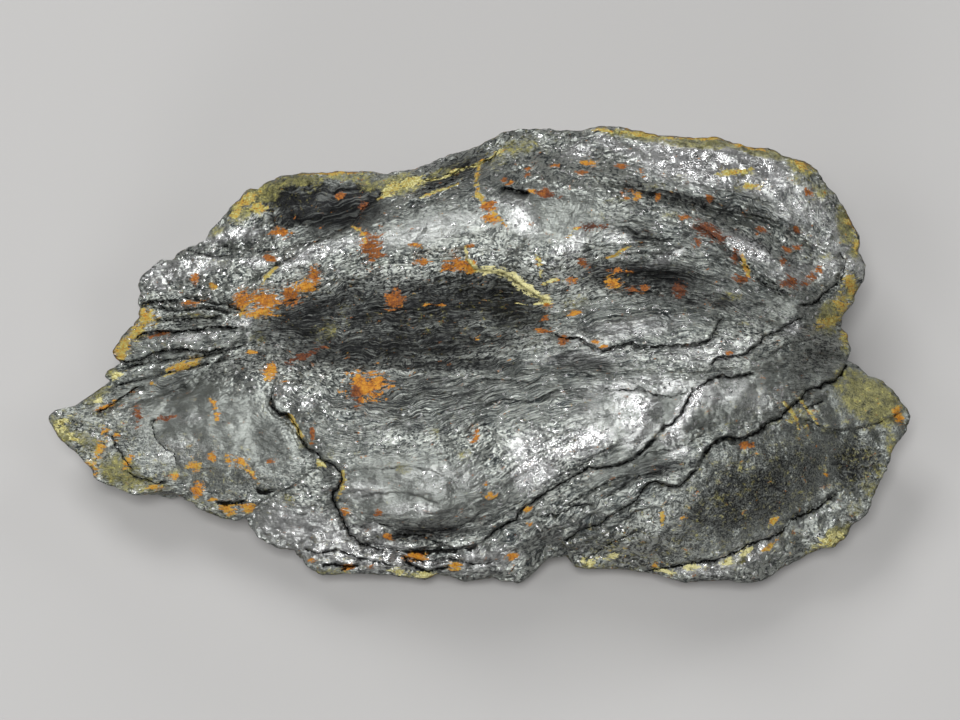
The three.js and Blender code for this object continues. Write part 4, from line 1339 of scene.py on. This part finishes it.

# %% [markdown]
# The bare graphite
#
# Clean sheets are silvery, rubbed ones almost mirrors, and sooty ones nearly black, though all are the same
# stuff. So one metal colour runs from dark to light with the grain, polish and painted highlights lift it
# towards silver, soot and painted shade pull it down, and the painted shade in creases, pits and under a
# torn edge is drawn in last.

# %% Streaks and mottling
plates = ramp(total(product(crinkle, 0.6), product(crumple, 0.4)), 0.0, 0.2)
streak = blend_number(streaky_here, plates, ramp(threads, 0.3, 0.7))
streak = blend_number(calm_here, streak, blend_number(gritty_here, 0.55, ramp(grit, 0.3, 0.7)))
mottle = speckle(place, millimetres(4.0), 3, 0.65)
lightness = ramp(total(product(streak, 0.55), product(mottle, 0.45)), 0.2, 0.85)
evened = blend_number(product(calm_here, 0.8), lightness, 0.62)
metal = blend(evened, linear("#3a4042"), linear("#a6aaa4"))  # dark to light pewter grey

# %% Painted glints of single flakes, and the polish and painted sheen of the folds
flakes = add("TexVoronoi", {}, Vector=place, Scale=millimetres(0.42), Randomness=1.0)
flake_chance = add("SeparateColor", {}, Color=flakes.outputs["Color"]).outputs[0]
flake_luck = total(flake_chance, product(number("polish_and_highlights"), 0.16), product(blocky_here, 0.06),
                   product(calm_here, -0.1))
glint = ramp(flake_luck, 0.93, 0.96)
block_light = add("SeparateColor", {}, Color=blocks.outputs["Color"]).outputs[0]
worn_through = maths("MAXIMUM", ramp(total(mottle, product(centred(grit), 0.3)), 0.3, 0.6), blocky_here)
shine_and_highlights = maths("MULTIPLY", number("polish_and_highlights"), worn_through, clamp=True)
shine_and_highlights = product(shine_and_highlights, blend_number(blocky_here, 1.0, ramp(block_light, 0.25, 0.5, 0.45, 1.0)))
# flakes that glint are painted silver, except in the soot and painted shade
shine_and_highlights = maths("MAXIMUM", shine_and_highlights, product(glint, less(number("soot_and_shade_patches"))))
metal = blend(shine_and_highlights, metal, linear("#e2e3e3"))  # painted highlight and polish: silver

# %% Soot and painted shade: dark patches, and painted shade in creases, pits and under torn edges
soot_and_shade = ramp(total(number("soot_and_shade_patches"), product(centred(mottle), 0.4), product(centred(streak), -0.2)), 0.05, 0.85)
clean_threads = ramp(combed(0.35, 6.0, 3), 0.5, 0.68)
metal = blend(product(soot_and_shade, less(product(clean_threads, 0.3))), metal, linear("#0b0d0f"))  # soot and painted shade: near black
crease_shade = maths("MAXIMUM", ramp(crinkle, 0.045, 0.0), ramp(crumple, 0.045, 0.0))
crease_shade = product(crease_shade, blend_number(calm_here, 0.6, 0.08))
pock_shade = product(ramp(grit, 0.48, 0.37), gritty_here, 0.5)
seams = product(ramp(blocks.outputs["Distance"], 0.42, 0.54), blocky_here)
crevice_shade_and_seams = product(maths("MAXIMUM", crease_shade, pock_shade), less(product(shine_and_highlights, 0.6)),
              less(product(blocky_here, 0.7)), ramp(mottle, 0.7, 0.4, 0.35))
crevice_shade_and_seams = maths("MAXIMUM", crevice_shade_and_seams, product(seams, 0.8))
metal = blend(crevice_shade_and_seams, metal, linear("#101110"))  # painted shade in creases and pits, and the dark seams between blocks
shade_under_lip = product(ramp(gap_here, 1.5, 0.3), ramp(gap_here, -0.05, 0.1), ramp(number("slit"), 0.3, 0.9))
metal = blend(product(shade_under_lip, 0.55), metal, linear("#0c0d0e"))  # painted shade under a torn edge, on the side that drops

# %% [markdown]
# Rust, cream vein and olive film
#
# Iron in the stone has weathered to rust in flakes and specks, from dark red-brown to ochre, with a cream
# vein in the middle. The rims carry a yellow-green film with pits in it. Both are dry and dull, so they turn
# the metal off. Their ragged edges come from adding noise to the stored masks before each is cut off.

# %% Rust and vein: one ramp of tones from dark red-brown to cream
speck = speckle(place, millimetres(0.6), 3, 0.75)
ragged = centred(speckle(crumpled, 1 / 1.5, 4, 0.75))
pores = centred(speckle(place, millimetres(0.35), 2, 0.7))
splinters = centred(combed(0.6, 2.2, 3))
crust_edge = total(number("crust"), product(ragged, 0.7), product(splinters, 0.8), product(pores, 0.45))
crust_here = ramp(crust_edge, 0.4, 0.62)
tone_here = total(number("tone"), product(centred(speck), 0.35), product(ragged, 0.25), product(pores, 0.25))
tones = add("ValToRGB", {}, i0=tone_here)
stops = [(0.0, "#3d1d10"), (0.2, "#693818"), (0.42, "#95591b"), (0.58, "#b67b20"), (0.72, "#ab8b38"),
         (0.86, "#a09a58"), (1.0, "#cfc994")]
band = tones.color_ramp
for position, code in stops[1:-1]:
    band.elements.new(position)
for element, (position, code) in zip(band.elements, stops):
    element.position = position
    element.color = linear(code)

# %% Olive film, dark in its pits and yellow where it is thick
film_edge = total(number("olive"), product(ragged, 0.5), product(centred(speck), 0.3))
film_here = product(ramp(film_edge, 0.32, 0.72), 0.9)
film_colour = blend(ramp(ragged, -0.5, 0.1), linear("#34341f"), linear("#7b784a"))
film_thick = ramp(total(ragged, product(centred(speck), 0.8)), 0.05, 0.6)
film_colour = blend(film_thick, film_colour, linear("#b0a95a"))

# %% The layers laid over each other, from the metal up to the open cracks
colour = blend(film_here, metal, film_colour)
film_pits = ramp(total(pores, product(ragged, 0.6)), -0.1, -0.38)
# the film darkens in its own pits, and takes the painted shade of creases and pits
colour = blend(product(maths("MAXIMUM", crevice_shade_and_seams, film_pits), film_here, 0.85), colour, linear("#12120c"))
colour = blend(crust_here, colour, tones.outputs[0])
colour = blend(product(film_pits, crust_here, 0.6), colour, linear("#22160b"))  # pores in the rust
colour = blend(product(slit_here, 0.96), colour, linear("#070707"))  # painted shade: the black inside of a crack

# %% How metallic and how rough each finish is
DARK_ROUGHNESS = 0.46  # satin
LIGHT_ROUGHNESS = 0.36
POLISHED_ROUGHNESS = 0.21  # a soft mirror
SOOTY_ROUGHNESS = 0.5
EARTHY_ROUGHNESS = 0.85  # dry and matt
earthy = maths("MAXIMUM", film_here, crust_here)
metallic = product(less(earthy), less(slit_here), less(product(soot_and_shade, 0.3)), less(product(crevice_shade_and_seams, 0.8)))
roughness = blend_number(lightness, DARK_ROUGHNESS, LIGHT_ROUGHNESS)
roughness = blend_number(shine_and_highlights, roughness, POLISHED_ROUGHNESS)
roughness = blend_number(soot_and_shade, roughness, SOOTY_ROUGHNESS)
roughness = blend_number(earthy, roughness, EARTHY_ROUGHNESS)

# %% The bump, and a tilt of its own for each block and each glinting flake
STEP_MM = -0.12
SLIT_MM = -0.35
BLOCK_TILT = 0.45
FLAKE_TILT = 0.7
relief_mm = total(relief_mm, product(step_here, STEP_MM), product(slit_here, SLIT_MM))
bump = add("Bump", {}, Strength=1.0, Distance=MM, Height=relief_mm)
facing_out = bump.outputs[0]
for cells, tilt in ((blocks, product(blocky_here, BLOCK_TILT)), (flakes, product(glint, FLAKE_TILT))):
    off = vector_maths("SUBTRACT", i0=cells.outputs["Color"], i1=(0.5, 0.5, 0.5))
    off = vector_maths("SCALE", i0=off, Scale=tilt)
    facing_out = vector_maths("ADD", i0=facing_out, i1=off)
facing_out = vector_maths("NORMALIZE", i0=facing_out)

# %% Joining it all to the shader, and telling the frame what the stone is
tree.links.new(colour, shader.inputs["Base Color"])
tree.links.new(metallic, shader.inputs["Metallic"])
tree.links.new(roughness, shader.inputs["Roughness"])
tree.links.new(product(less(maths("MAXIMUM", slit_here, crevice_shade_and_seams)), 0.5), shader.inputs["Specular IOR Level"])
tree.links.new(facing_out, shader.inputs["Normal"])
stone.data.materials.append(material)
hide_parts(NODE)
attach(stone, "root")
print("nodes in the finish:", len(tree.nodes))

# %% [markdown]
# The studio
#
# The stone lies on pale paper. Graphite shows its folds only by what it mirrors, so the room is dark and
# holds six soft boxes. Each one is placed where it makes one group of folds flash. The camera stands at the
# viewpoint of the survey, so every noted feature comes out where it was noted.

# %% Floor
FLOOR_SIZE = 6.0

bpy.ops.mesh.primitive_plane_add(size=FLOOR_SIZE)
floor = bpy.context.object
floor.name = "studio_floor"
paper = bpy.data.materials.new("pale_paper")  # a matt ground that takes soft shadows
paper.use_nodes = True
paper_shader = paper.node_tree.nodes["Principled BSDF"]
paper_shader.inputs["Base Color"].default_value = linear("#a2a1a0")  # warm pale grey
paper_shader.inputs["Roughness"].default_value = 0.8  # matt
floor.data.materials.append(paper)

# %% Camera at the survey's viewpoint
SENSOR = 36.0

camera_data = bpy.data.cameras.new("survey_camera")
camera = bpy.data.objects.new("survey_camera", camera_data)
bpy.context.scene.collection.objects.link(camera)
camera_data.sensor_width = SENSOR
camera_data.lens = SENSOR * VIEW_DISTANCE / (PICTURE_PX[0] * MM_PER_PX)
camera.location = Vector(view_point * MM)
camera.rotation_euler = (np.pi / 2 - VIEW_ELEVATION, 0, 0)
bpy.context.scene.camera = camera
print("camera at:", [round(part, 3) for part in camera.location], "lens:", round(camera_data.lens, 1))

# %% Soft boxes
SOFTBOXES = {  # name: azimuth from the front and elevation in degrees, distance and size in metres, watts
    "key": (210, 52, 1.2, 0.5, 8),
    "overhead": (-12, 76, 1.3, 0.35, 12),
    "front_low": (-8, 16, 1.3, 0.5, 8),
    "left_side": (-85, 45, 1.3, 0.5, 3),
    "right_side": (75, 50, 1.3, 0.5, 1.5),
    "right_back": (135, 30, 1.3, 0.4, 3),
}
WORLD_STRENGTH = 0.03

for name, (azimuth, elevation, distance, size, power) in SOFTBOXES.items():
    light = bpy.data.lights.new(name, "AREA")
    light.size = size
    light.energy = power
    lamp = bpy.data.objects.new(name, light)
    bpy.context.scene.collection.objects.link(lamp)
    a, e = np.radians(azimuth), np.radians(elevation)
    lamp.location = Vector((np.sin(a) * np.cos(e), -np.cos(a) * np.cos(e), np.sin(e))) * distance
    lamp.rotation_euler = Vector(lamp.location).to_track_quat("Z", "Y").to_euler()
world = bpy.data.worlds.new("studio")
world.use_nodes = True
world.node_tree.nodes["Background"].inputs["Color"].default_value = linear("#ffffff")
world.node_tree.nodes["Background"].inputs["Strength"].default_value = WORLD_STRENGTH
bpy.context.scene.world = world
bpy.context.scene.view_settings.view_transform = "Standard"
print("soft boxes:", ", ".join(SOFTBOXES))
